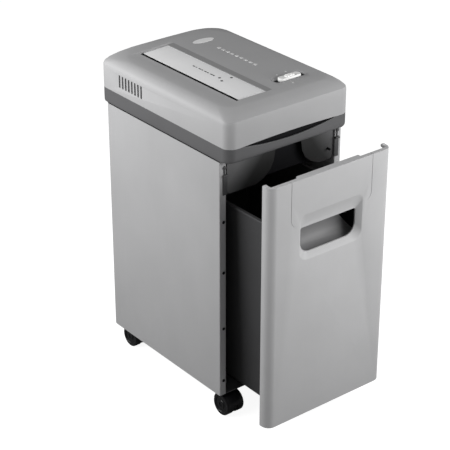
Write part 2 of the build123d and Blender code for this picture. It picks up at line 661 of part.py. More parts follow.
def thermal_cutout():
    """Small disc thermostat on top of the motor can."""
    disc = rod("Z", (MOTOR_X, MOTOR_START + 60, MOTOR_Z + 27.6), 7, 5)
    return disc - rod("Y", (MOTOR_X, MOTOR_START + 40, MOTOR_Z), MOTOR_RADIUS, 40)


def control_board():
    """Circuit board on posts, with its relay, fuse and capacitor."""
    low = HOUSING_BOTTOM + 3
    board = block((66, 118), (FRONT + 70, FRONT + 170), (low + 8, low + 9.6))
    for x in (70, 114):
        for y in (FRONT + 74, FRONT + 166):
            board += rod("Z", (x, y, low), 2.5, 8.5)
    board += block((72, 90), (FRONT + 84, FRONT + 112), (low + 9.5, low + 25))
    board += rod("Z", (104, FRONT + 98, low + 9.5), 7, 22)
    board += rod("Y", (100, FRONT + 130, low + 13), 3, 22)
    board += block((74, 88), (FRONT + 130, FRONT + 160), (low + 9.5, low + 20))
    return board


def paper_sensor_lever():
    """Light sprung finger that paper pushes down as it enters the slot."""
    pivot = (LEVER_PIVOT_X, LEVER_Y, LEVER_PIVOT_Z)
    arm = rod("Y", (pivot[0], pivot[1] - 3, pivot[2]), 3.2, 6)
    arm += block((SLOT_X - 1.5, pivot[0]), (LEVER_Y - 1, LEVER_Y + 1), (pivot[2] - 1.2, pivot[2] + 1.2))
    return arm - rod("Y", (pivot[0], pivot[1] - 4, pivot[2]), 1.5 + RUNNING_CLEARANCE, 8)


def sensor_bracket():
    """Fork and pin that carry the sensor lever."""
    x, z = LEVER_PIVOT_X, LEVER_PIVOT_Z
    fork = rod("Y", (x, LEVER_Y - 6, z), 1.5, 12)
    for low in (LEVER_Y - 5.2, LEVER_Y + 3.4):
        fork += block((x - 3, x + 8), (low, low + 1.8), (z - 3, THROAT_TOP))
    fork += block((x + 4, x + 8), (LEVER_Y - 5.2, LEVER_Y + 5.2), (551, THROAT_TOP))
    return fork


def interlock_switch():
    """Micro switch behind the header plate that lets the motor run only with the bin home."""
    low_y = FRONT + 3.5
    body = block((PLUNGER_X - 10, PLUNGER_X + 10), (low_y, low_y + 22), (PLUNGER_Z - 8, PLUNGER_Z + 8))
    return body - rod("Y", (PLUNGER_X, low_y - 1, PLUNGER_Z), PLUNGER_RADIUS + RUNNING_CLEARANCE, 15)


def interlock_plunger():
    """Sprung pin that the bin's peg pushes."""
    pin = rod("Y", (PLUNGER_X, FRONT - 5, PLUNGER_Z), PLUNGER_RADIUS, 14)
    return fillet(pin.edges().sort_by(Axis.Y)[0], 1.0)


def paper_chute():
    """Black skirt that guides shreds down into the bin."""
    x, y, z = (-113, 76), (FRONT + 12, FRONT + 293), (HEADER_BOTTOM + 4, CABINET_TOP - 2.2)
    skirt = block(x, y, z)
    inside = block((x[0] + 2, x[1] - 2), (y[0] + 2, y[1] - 2), (z[0] - 1, HOUSING_BOTTOM + 1))
    collar = block(x, (y[0] + 6, y[1]), (z[1] - 2, HOUSING_BOTTOM))
    return skirt + collar - inside


# ---------------------------------------------------------------- bin drawer
def handle_outline(grow):
    """The T-shaped moulding's outline: wide above, a rounded lobe round the handle below."""
    top = SHELL_TOP
    wide, lobe = PANEL_HALF + grow, LOBE_HALF + grow
    neck, bottom = NECK_HEIGHT - grow, LOBE_BOTTOM - grow
    face = Pos(0, (top + neck) / 2) * Rectangle(2 * wide, top - neck)
    face = fillet(face.vertices().group_by(Axis.Y)[0], 14 + grow)
    lower = Pos(0, (neck + 14 + bottom) / 2) * Rectangle(2 * lobe, neck + 14 - bottom)
    lower = fillet(lower.vertices().group_by(Axis.Y)[0], 26 + grow)
    return face + lower


def on_shell(face, low_y, high_y):
    """A face drawn in (x, z), extruded along Y."""
    return extrude(Plane.XZ.offset(-low_y) * face, -(high_y - low_y))


def handle_opening():
    """The hand hole: square upper corners, generous lower ones."""
    face = Pos(0, (OPENING_TOP + OPENING_BOTTOM) / 2) * Rectangle(
        2 * OPENING_HALF, OPENING_TOP - OPENING_BOTTOM
    )
    face = fillet(face.vertices().group_by(Axis.Y)[0], 20)
    return fillet(face.vertices().group_by(Axis.Y)[-1], 3)


def drawer_front():
    """Silver tray-shaped front of the bin, cut away for the handle moulding."""
    outer = rounded_outline(HEAD_WIDTH, SHELL_FRONT, SHELL_REAR + 40, SHELL_CORNER_RADIUS)
    inner = rounded_outline(
        HEAD_WIDTH - 2 * SHELL_WALL,
        SHELL_FRONT + SHELL_WALL,
        SHELL_REAR + 40,
        SHELL_CORNER_RADIUS - SHELL_WALL,
    )
    shell = prism(outer, SHELL_BOTTOM, SHELL_TOP)
    shell -= prism(inner, SHELL_BOTTOM + SHELL_WALL, SHELL_TOP - SHELL_WALL)
    shell -= block((-200, 200), (SHELL_REAR, SHELL_REAR + 100), (0, 600))
    shell -= on_shell(handle_outline(SEAM), SHELL_FRONT - 1, SHELL_FRONT + SHELL_WALL + 0.5)
    gap = PANEL_HALF + SEAM
    top_wall = (SHELL_TOP - SHELL_WALL - 1, SHELL_TOP + 1)
    shell -= block((-gap, gap), (SHELL_FRONT - 1, PANEL_REAR + SEAM), top_wall)
    ledge = (SHELL_FRONT + TOP_LEDGE, SHELL_REAR + 1)
    shell -= block((-EAR_X, EAR_X), ledge, top_wall)
    for side in (-1, 1):
        edge = sorted((side * (HALF_HEAD - 1), side * EAR_X))
        shell += block(edge, (SHELL_REAR - 5, SHELL_REAR), (SHELL_TOP - EAR_DROP, SHELL_TOP + EAR_RISE))
    peg_start = SHELL_FRONT + SHELL_WALL - 0.5
    peg = rod("Y", (PLUNGER_X, peg_start, PLUNGER_Z), 3.5, SHELL_DEPTH - SHELL_WALL - 4.9)
    return shell + peg


def handle_panel():
    """T-shaped centre moulding with a dished hand hole, screwed behind the front's skin."""
    back = SHELL_FRONT + SHELL_WALL
    skin = on_shell(handle_outline(0), SHELL_FRONT, back)
    backing = on_shell(handle_outline(4), back + 0.1, back + 2.0)
    backing -= block((-200, 200), (SHELL_FRONT, SHELL_REAR), (SHELL_TOP - SHELL_WALL - 1.2, 600))
    panel = skin + backing + on_shell(handle_outline(-3), SHELL_FRONT + 1, back + 2)
    top_wall = (SHELL_TOP - SHELL_WALL, SHELL_TOP)
    panel += block((-PANEL_HALF, PANEL_HALF), (SHELL_FRONT + 1, PANEL_REAR), top_wall)
    dish = loft(
        [
            Plane.XZ.offset(-SHELL_FRONT + 0.01) * dish_outline(0),
            Plane.XZ.offset(-SHELL_FRONT - DISH_DEPTH) * dish_outline(DISH_SLOPE),
        ],
        ruled=True,
    )
    rim = loft(
        [
            Plane.XZ.offset(-SHELL_FRONT - 1.0) * dish_outline(-2),
            Plane.XZ.offset(-SHELL_FRONT - DISH_DEPTH - 2.2) * dish_outline(DISH_SLOPE - 2),
        ],
        ruled=True,
    )
    panel = panel + rim - dish
    return panel - on_shell(handle_opening(), SHELL_FRONT - 1, SHELL_FRONT + 20)


def dish_outline(inset):
    """Outline of the dished surround of the hand hole."""
    low, high = DISH_BOTTOM + inset * 0.45, DISH_TOP - inset
    half = DISH_HALF - inset * 0.45
    face = Pos(0, (low + high) / 2) * Rectangle(2 * half, high - low)
    face = fillet(face.vertices().group_by(Axis.Y)[0], 18)
    return fillet(face.vertices().group_by(Axis.Y)[-1], 12)


def handle_cup():
    """Grey pocket behind the hand hole that closes it off from the bin."""
    low_y, high_y = SHELL_FRONT + DISH_DEPTH + 2.4, SHELL_FRONT + 40
    outer = block((-72, 72), (low_y, high_y), (OPENING_BOTTOM - 6, 408))
    inner = block((-70, 70), (low_y - 1, high_y - 2), (OPENING_BOTTOM - 4, 406))
    return outer - inner


def bin_form(inset, drop):
    """The bin's tapered form, shrunk by a wall thickness."""
    low, high = BIN_BOTTOM + inset, BIN_TOP + drop
    bottom = Pos(0, (BIN_FRONT + BIN_REAR - 6) / 2, low) * RectangleRounded(
        2 * (BIN_BOTTOM_HALF - inset), BIN_REAR - 6 - BIN_FRONT - 2 * inset, 10 - inset
    )
    top = Pos(0, (BIN_FRONT + BIN_REAR) / 2, high) * RectangleRounded(
        2 * (BIN_TOP_HALF - inset), BIN_REAR - BIN_FRONT - 2 * inset, 10 - inset
    )
    return loft([bottom, top], ruled=True)


def bin_box():
    """Dark open-topped bin, with a notch in its front wall for the handle pocket."""
    bin_solid = bin_form(0, 0) - bin_form(BIN_WALL, 0.01)
    rim = rounded_outline(2 * BIN_TOP_HALF + 6, BIN_FRONT - 0.5, BIN_REAR + 3, 12)
    rim_hole = rounded_outline(
        2 * (BIN_TOP_HALF - BIN_WALL), BIN_FRONT + BIN_WALL, BIN_REAR - BIN_WALL, 8
    )
    bin_solid += prism(rim, BIN_TOP - 3, BIN_TOP) - prism(rim_hole, BIN_TOP - 5, BIN_TOP + 1)
    notch = block((-75, 75), (BIN_FRONT - 5, SHELL_FRONT + 43), (OPENING_BOTTOM - 10, 500))
    step = block((-77.5, 77.5), (BIN_FRONT + 0.5, SHELL_FRONT + 45.5), (OPENING_BOTTOM - 12.5, BIN_TOP))
    bin_solid = bin_solid + step - notch
    for x, z in BIN_SCREWS:
        bin_solid -= rod("Y", (x, BIN_FRONT - 2, z), 2.1, BIN_WALL + 6)
    return bin_solid


def bin_screws():
    """Four screws from inside the bin into the front."""
    start = SHELL_FRONT + SHELL_WALL
    shank = BIN_FRONT + BIN_WALL + 1 - start
    return [
        rod("Y", (x, start, z), 2, shank) + rod("Y", (x, start + shank - 0.4, z), 4, 2.5)
        for x, z in BIN_SCREWS
    ]


def bin_glides():
    """Two nylon strips under the bin."""
    y, z = (BIN_FRONT + 12, BIN_REAR - 20), (CABINET_BOTTOM + 3.0, BIN_BOTTOM)
    return [block(sorted((side * 57.5, side * 63.5)), y, z) for side in (-1, 1)]


# ---------------------------------------------------------------- castors
def castor_hood(x, y, lead):
    """Hood with its stem; the wheels hang one trail ahead of or behind the stem."""
    axle_y = y + lead * CASTOR_TRAIL
    stem = rod("Z", (x, y, 38.5), STEM_RADIUS, CABINET_BOTTOM + 19 - 38.5)
    collar = rod("Z", (x, y, 38.5), 8.0, 4.5)
    hood = tube("X", (x - 16, axle_y, WHEEL_RADIUS), 22.4, 20.8, 32)
    web = rod("X", (x - 3, axle_y, WHEEL_RADIUS), 22.4, 6)
    keep = block((x - 20, x + 20), (axle_y - 30, axle_y + 30), (WHEEL_RADIUS + 4, 60))
    arm = block((x - 3, x + 3), sorted((axle_y, y + lead * 4)), (WHEEL_RADIUS - 5, 37))
    body = ((hood + web) & keep) + web + arm
    body &= block((x - 20, x + 20), (y - 60, y + 60), (6, 42.4))
    body += collar + stem
    body -= rod("X", (x - 5, axle_y, WHEEL_RADIUS), 3 + RUNNING_CLEARANCE, 10)
    return body


def castor_wheels(x, y, lead):
    """Twin wheels fixed on their axle."""
    axle_y = y + lead * CASTOR_TRAIL
    pair = rod("X", (x - 10, axle_y, WHEEL_RADIUS), 3.0, 20)
    for low in (x - CASTOR_WIDTH / 2, x + 3.6):
        width = CASTOR_WIDTH / 2 - 3.6
        wheel = rod("X", (low, axle_y, WHEEL_RADIUS), WHEEL_RADIUS, width)
        wheel = fillet(wheel.edges().filter_by(GeomType.CIRCLE), 2)
        pair += wheel
    return pair


PIECES = [
    cabinet_wrap, base_plate, header_plate, flange_screws, top_brackets, base_runners,
    castor_sockets, cord_gland, lower_housing, top_cover, entry_plate, throat_guide,
    switch_bezel, switch_slider, switch_body, badge, name_strip, head_screws,
    cutter_frame_front, cutter_frame_rear, tie_rods, cutter_bearings, cutter_shaft_a,
    cutter_shaft_b, sync_gear_a, sync_gear_b, stripper_left, stripper_right, output_gear,
    idler_gear, idler_axle, motor_pinion, motor_housing, motor_rotor, motor_fan,
    motor_bracket, thermal_cutout, control_board, paper_sensor_lever, sensor_bracket,
    interlock_switch, interlock_plunger, paper_chute, drawer_front, handle_panel,
    handle_cup, bin_box, bin_screws, bin_glides,
]


def save(name, shape):
    """Write one sub-part, a single piece or a list of like pieces."""
    pieces = shape if isinstance(shape, list) else [shape]
    solids = [solid for piece in pieces for solid in piece.solids()]
    whole = Compound(children=solids) if len(solids) > 1 else solids[0]
    export_step(whole, f"parts/{name}.step")


os.makedirs("parts", exist_ok=True)
for piece in PIECES:
    save(piece.__name__, piece())
for corner, (castor_x, castor_y, castor_lead) in CASTORS.items():
    save(f"castor_hood_{corner}", castor_hood(castor_x, castor_y, castor_lead))
    save(f"castor_wheels_{corner}", castor_wheels(castor_x, castor_y, castor_lead))
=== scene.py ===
"""Dresses a castor-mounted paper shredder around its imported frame."""

import logging
import math
from dataclasses import dataclass
from enum import Enum

import bmesh
import bpy
from mathutils import Matrix, Vector

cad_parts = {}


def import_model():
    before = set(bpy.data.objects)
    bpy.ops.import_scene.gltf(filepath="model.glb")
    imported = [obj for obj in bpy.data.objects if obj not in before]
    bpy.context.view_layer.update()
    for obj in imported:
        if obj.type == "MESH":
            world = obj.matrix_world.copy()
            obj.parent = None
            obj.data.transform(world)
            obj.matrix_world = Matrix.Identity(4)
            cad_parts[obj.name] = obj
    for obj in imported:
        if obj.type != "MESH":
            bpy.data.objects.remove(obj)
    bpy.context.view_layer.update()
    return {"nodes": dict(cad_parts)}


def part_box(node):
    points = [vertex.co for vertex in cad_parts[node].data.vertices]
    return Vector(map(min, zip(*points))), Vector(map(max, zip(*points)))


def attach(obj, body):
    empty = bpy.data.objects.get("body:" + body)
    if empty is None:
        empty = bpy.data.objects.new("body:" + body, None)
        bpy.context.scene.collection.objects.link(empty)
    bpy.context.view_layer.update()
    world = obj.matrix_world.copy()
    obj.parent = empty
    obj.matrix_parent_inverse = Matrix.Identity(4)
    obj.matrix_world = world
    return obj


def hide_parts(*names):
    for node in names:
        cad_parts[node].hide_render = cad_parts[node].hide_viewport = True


LOG = logging.getLogger("shredder")
MILLI = 0.001

Colour = tuple[float, float, float]
Point = tuple[float, float, float]
Flat = tuple[float, float]
Span = tuple[float, float]


class Side(Enum):
    """The two hands of the machine, seen from its front."""

    LEFT = -1
    RIGHT = 1


class Axis(Enum):
    """The direction that a round part or a grind runs along."""

    X = 0
    Y = 1
    Z = 2

    def unit(self) -> Vector:
        """The axis as a unit vector."""
        return Vector([float(self.value == index) for index in range(3)])


# ---------------------------------------------------------------- shader wrapper
class Value:
    """A node's output, so that shader maths reads as Python."""

    def __init__(self, shader: "Shader", socket: bpy.types.NodeSocket) -> None:
        """Keep the socket and the shader that it belongs to."""
        self.shader = shader
        self.socket = socket

    def _math(self, operation: str, first: object, second: object) -> "Value":
        """Add one Math node."""
        return self.shader.node("ShaderNodeMath", {"operation": operation}, {0: first, 1: second})

    def __add__(self, other: object) -> "Value":
        """self + other."""
        return self._math("ADD", self, other)

    __radd__ = __add__

    def __sub__(self, other: object) -> "Value":
        """self - other."""
        return self._math("SUBTRACT", self, other)

    def __rsub__(self, other: object) -> "Value":
        """other - self."""
        return self._math("SUBTRACT", other, self)

    def __mul__(self, other: object) -> "Value":
        """self * other."""
        return self._math("MULTIPLY", self, other)

    __rmul__ = __mul__

    def __gt__(self, other: object) -> "Value":
        """1 where self is above other."""
        return self._math("GREATER_THAN", self, other)


class Shader:
    """One material's node tree."""

    def __init__(self, name: str) -> None:
        """Start an empty tree with its output.

        Args:
            name: the material's name.
        """
        self.material = bpy.data.materials.new(name)
        self.material.use_nodes = True
        self.tree = self.material.node_tree
        self.tree.nodes.clear()
        self.output = self.tree.nodes.new("ShaderNodeOutputMaterial")

    def node(self, kind: str, settings: dict, sockets: dict, output: object = 0) -> Value:
        """Add any node.

        Args:
            kind: the node's type.
            settings: its properties, or stops for a colour ramp, which are set first.
            sockets: a value or a link for each input, by name or number.
            output: which output is returned.

        Returns:
            The output, wrapped.
        """
        made = self.tree.nodes.new(kind)
        for key, value in settings.items():
            if key == "stops":
                self._stops(made.color_ramp, value)
            else:
                setattr(made, key, value)
        for key, value in sockets.items():
            if isinstance(value, Value):
                self.tree.links.new(value.socket, made.inputs[key])
            else:
                made.inputs[key].default_value = value
        return Value(self, made.outputs[output])

    @staticmethod
    def _stops(ramp: bpy.types.ColorRamp, stops: list[tuple[float, float]]) -> None:
        """Give a ramp its grey stops.

        Args:
            ramp: the node's ramp.
            stops: (place, grey) pairs, from the low end.
        """
        while len(ramp.elements) < len(stops):
            ramp.elements.new(1.0)
        for element, (place, grey) in zip(ramp.elements, stops):
            element.position = place
            element.color = (grey, grey, grey, 1.0)

    def place(self, scale: Point = (1.0, 1.0, 1.0)) -> Value:
        """Object coordinates in metres, scaled."""
        spot = self.node("ShaderNodeTexCoord", {}, {}, "Object")
        return self.node("ShaderNodeMapping", {}, {"Vector": spot, "Scale": scale})

    def noise(self, scale: float, detail: float = 2.0, stretch: Point = (1.0, 1.0, 1.0)) -> Value:
        """Noise whose grains are 1/scale metres."""
        sockets = {"Vector": self.place(stretch), "Scale": scale, "Detail": detail}
        return self.node("ShaderNodeTexNoise", {}, sockets, "Fac")

    def cells(self, scale: float) -> Value:
        """A random number for each small cell.

        Args:
            scale: the number of cells in a metre.

        Returns:
            The random number, from 0 to 1.
        """
        sockets = {"Vector": self.place(), "Scale": scale}
        found = self.node("ShaderNodeTexVoronoi", {}, sockets, "Color")
        return self.node("ShaderNodeSeparateColor", {}, {"Color": found}, "Red")

    def ramp(self, value: Value, stops: list[tuple[float, float]]) -> Value:
        """Remap a value through grey stops."""
        return self.node("ShaderNodeValToRGB", {"stops": stops}, {"Fac": value}, "Color")

    def blend(self, amount: object, first: object, second: object) -> Value:
        """Mix two colours, through the node's colour sockets 6 and 7.

        Args:
            amount: the share of the second colour.
            first: a colour or a value.
            second: a colour or a value.

        Returns:
            The mixed colour.
        """
        colours = [c if isinstance(c, Value) else (*c, 1.0) for c in (first, second)]
        sockets = {0: amount, 6: colours[0], 7: colours[1]}
        return self.node("ShaderNodeMix", {"data_type": "RGBA"}, sockets, 2)

    def bump(self, height: Value, depth_mm: float) -> Value:
        """A normal from a height field."""
        sockets = {"Height": height, "Distance": depth_mm * MILLI, "Strength": 1.0}
        return self.node("ShaderNodeBump", {}, sockets, "Normal")

    def axis(self, axis: "Axis") -> Value:
        """One object coordinate, in metres."""
        spot = self.node("ShaderNodeTexCoord", {}, {}, "Object")
        return self.node("ShaderNodeSeparateXYZ", {}, {"Vector": spot}, axis.name)

    def close(self, sockets: dict) -> bpy.types.Material:
        """Join the surface shader to the output and give the material.

        Args:
            sockets: a value or a link for each input of the surface shader.

        Returns:
            The finished material.
        """
        surface = self.node("ShaderNodeBsdfPrincipled", {}, sockets, "BSDF")
        self.tree.links.new(surface.socket, self.output.inputs["Surface"])
        return self.material


def shade(colour: Colour, amount: float) -> Colour:
    """A colour made lighter or darker."""
    return tuple(min(1.0, channel * amount) for channel in colour)


# ---------------------------------------------------------------- finishes
@dataclass(frozen=True)
class Coat:
    """Paint or moulded plastic with a fine cast texture, flecks and handling marks."""

    name: str
    colour: Colour
    roughness: float = 0.45
    metallic: float = 0.0
    grain_mm: float = 0.7
    depth_mm: float = 0.012
    mottle: float = 0.05
    fleck: float = 0.0
    sheen_marks: float = 0.10
    specular: float = 0.5

    def material(self) -> bpy.types.Material:
        """Build the node material.

        Returns:
            The material.
        """
        shader = Shader(self.name)
        grain = shader.noise(1000 / self.grain_mm, 3.0)
        broad = shader.noise(11.0, 4.0)
        streak = shader.noise(60.0, 3.0, (1.0, 1.0, 0.12))
        flakes = shader.cells(2400.0)
        tone = broad * 0.6 + streak * 0.15 + grain * 0.25
        tone = tone + (flakes - 0.5) * self.fleck
        dark, light = shade(self.colour, 1 - self.mottle), shade(self.colour, 1 + self.mottle)
        spread = shader.ramp(tone, [(0.32, 0.0), (0.68, 1.0)])
        steady = self.roughness - self.sheen_marks / 2 - 0.03
        rough = broad * self.sheen_marks + grain * 0.06 + steady
        return shader.close({
            "Base Color": shader.blend(spread, dark, light),
            "Roughness": rough,
            "Metallic": self.metallic,
            "Specular IOR Level": self.specular,
            "Normal": shader.bump(grain, self.depth_mm),
        })


@dataclass(frozen=True)
class HeaderShadePaint:
    """Dark grey paint with painted shade: it turns black round the sight opening, standing in for
    the shade there.
    """

    name: str
    base_grey: Colour
    shade_black: Colour
    middle_mm: float
    top_mm: float
    near_mm: float
    fade_mm: float
    spread: float = 0.75

    def material(self) -> bpy.types.Material:
        """Build the node material.

        Returns:
            The material.
        """
        shader = Shader(self.name)
        grain = shader.noise(1200.0, 3.0)
        patchy = shader.noise(25.0, 4.0)
        aside = shader.axis(Axis.X) - self.middle_mm * MILLI
        across = shader.node("ShaderNodeMath", {"operation": "ABSOLUTE"}, {0: aside})
        below = self.top_mm * MILLI - shader.axis(Axis.Z)
        reach = (across - below * self.spread - self.near_mm * MILLI) * (1000 / self.fade_mm)
        # painted shade: the colour darkens to black near the sight opening and lower down, in place
        # of the shade there
        shade_mask = shader.ramp(reach + patchy * 0.25 - 0.12, [(0.0, 0.0), (1.0, 1.0)])
        return shader.close({
            "Base Color": shader.blend(shade_mask, self.shade_black, self.base_grey),
            "Roughness": grain * 0.1 + patchy * 0.2 + 0.4,
            "Normal": shader.bump(grain, 0.02),
        })


@dataclass(frozen=True)
class GroundMetal:
    """Bare or plated metal with grinding or turning lines along one axis."""

    name: str
    colour: Colour
    roughness: float = 0.35
    along: Axis = Axis.Y
    stain: float = 0.12
    depth_mm: float = 0.006

    def material(self) -> bpy.types.Material:
        """Build the node material.

        Returns:
            The material.
        """
        shader = Shader(self.name)
        stretch = tuple(0.06 if index == self.along.value else 1.0 for index in range(3))
        lines = shader.noise(1500.0, 2.0, stretch)
        broad = shader.noise(35.0, 4.0)
        tone = shader.ramp(broad * 0.55 + lines * 0.45, [(0.35, 0.0), (0.65, 1.0)])
        dark, light = shade(self.colour, 1 - self.stain), shade(self.colour, 1 + self.stain / 2)
        return shader.close({
            "Base Color": shader.blend(tone, dark, light),
            "Roughness": lines * 0.16 + broad * 0.14 + (self.roughness - 0.15),
            "Metallic": 1.0,
            "Normal": shader.bump(lines, self.depth_mm),
        })


@dataclass(frozen=True)
class Laminate:
    """A circuit board: green mask with copper tracks, and darker parts above it."""

    name: str
    mask: Colour
    parts: Colour
    copper: Colour
    parts_above_mm: float

    def material(self) -> bpy.types.Material:
        """Build the node material.

        Returns:
            The material.
        """
        shader = Shader(self.name)
        above = shader.axis(Axis.Z) > self.parts_above_mm * MILLI
        tracks = shader.node(
            "ShaderNodeTexBrick",
            {"offset": 0.37, "squash": 1.6},
            {"Vector": shader.place(), "Scale": 160.0, "Mortar Size": 0.06, "Bias": -0.2},
            "Fac",
        )
        grain = shader.noise(900.0, 2.0)
        flat = shader.blend(tracks, self.mask, self.copper)
        return shader.close({
            "Base Color": shader.blend(above, flat, self.parts),
            "Roughness": grain * 0.2 + 0.28,
            "Normal": shader.bump(tracks + grain * 0.3, 0.03),
        })


class Finishes:
    """Every finish of the machine, made once each."""

    coats = (
        Coat("cabinet_powder_coat", (0.405, 0.405, 0.41), roughness=0.50, grain_mm=0.55,
             depth_mm=0.02, mottle=0.04, fleck=0.10, specular=0.35),
        Coat("head_silver_plastic", (0.42, 0.42, 0.425), roughness=0.52, grain_mm=0.6,
             depth_mm=0.012, mottle=0.04, fleck=0.12, specular=0.22),
        Coat("drawer_silver_plastic", (0.48, 0.48, 0.485), roughness=0.50, grain_mm=0.6,
             depth_mm=0.012, mottle=0.04, fleck=0.12, specular=0.3),
        Coat("entry_light_plastic", (0.86, 0.86, 0.865), roughness=0.45, grain_mm=0.6,
             depth_mm=0.012, mottle=0.04, fleck=0.10, specular=0.3),
        # a darker grey for the entry trough's sloping flank: painted shade
        Coat("trough_painted_shade_plastic", (0.27, 0.27, 0.273), roughness=0.5, grain_mm=0.6,
             depth_mm=0.012, mottle=0.05, fleck=0.10, specular=0.3),
        Coat("housing_dark_plastic", (0.10, 0.10, 0.103), roughness=0.50, grain_mm=0.7,
             depth_mm=0.02, mottle=0.08),
        Coat("panel_dark_paint", (0.06, 0.06, 0.062), roughness=0.45, grain_mm=0.8, depth_mm=0.02,
             mottle=0.10),
        Coat("bin_dark_plastic", (0.05, 0.05, 0.052), roughness=0.55, grain_mm=0.9, depth_mm=0.03,
             mottle=0.10),
        Coat("black_moulding", (0.006, 0.006, 0.007), roughness=0.65, grain_mm=0.8, depth_mm=0.02,
             mottle=0.15, specular=0.10),
        Coat("castor_black_nylon", (0.006, 0.006, 0.007), roughness=0.34, grain_mm=1.2,
             depth_mm=0.015, mottle=0.15, specular=0.25),
        Coat("grip_grey_plastic", (0.16, 0.16, 0.162), roughness=0.55, grain_mm=0.8, depth_mm=0.02,
             mottle=0.06),
        Coat("slider_white_plastic", (0.95, 0.95, 0.94), roughness=0.25, grain_mm=1.5,
             depth_mm=0.004, mottle=0.02),
        Coat("marking_ink", (0.05, 0.05, 0.052), roughness=0.6, grain_mm=0.4, depth_mm=0.004,
             mottle=0.20),
        Coat("marking_light", (0.80, 0.80, 0.80), roughness=0.4, metallic=0.1, grain_mm=0.5,
             depth_mm=0.004, mottle=0.08),
        Coat("badge_foil", (0.92, 0.92, 0.92), roughness=0.40, grain_mm=0.5, depth_mm=0.004,
             mottle=0.06),
        Coat("gear_natural_nylon", (0.74, 0.72, 0.66), roughness=0.42, grain_mm=1.0, depth_mm=0.01,
             mottle=0.06),
        Coat("glide_nylon", (0.70, 0.69, 0.65), roughness=0.40, grain_mm=1.0, depth_mm=0.01,
             mottle=0.06),
    )
    metals = (
        GroundMetal("ground_steel", (0.56, 0.56, 0.57), 0.30, Axis.Y),
        GroundMetal("zinc_plate", (0.60, 0.60, 0.58), 0.38, Axis.Z, 0.20),
        GroundMetal("motor_can_zinc", (0.55, 0.55, 0.54), 0.36, Axis.Y, 0.18),
        GroundMetal("oiled_bronze", (0.55, 0.38, 0.20), 0.34, Axis.Y, 0.22),
    )
    # the header's paint darkens to black round the sight opening: painted shade
    header_shade = HeaderShadePaint("header_painted_shade", base_grey=(0.10, 0.10, 0.102),
                       shade_black=(0.003, 0.003, 0.003), middle_mm=12.0, top_mm=480.0,
                       near_mm=42.0, fade_mm=46.0)
    board = Laminate("board_laminate", mask=(0.02, 0.13, 0.05), parts=(0.03, 0.03, 0.035),
                     copper=(0.05, 0.24, 0.10), parts_above_mm=493.3)

    def __init__(self) -> None:
        """Make every material once."""
        recipes = (*self.coats, *self.metals, self.header_shade, self.board)
        self.made = {recipe.name: recipe.material() for recipe in recipes}

    def __getitem__(self, name: str) -> bpy.types.Material:
        """A finished material by name."""
        return self.made[name]


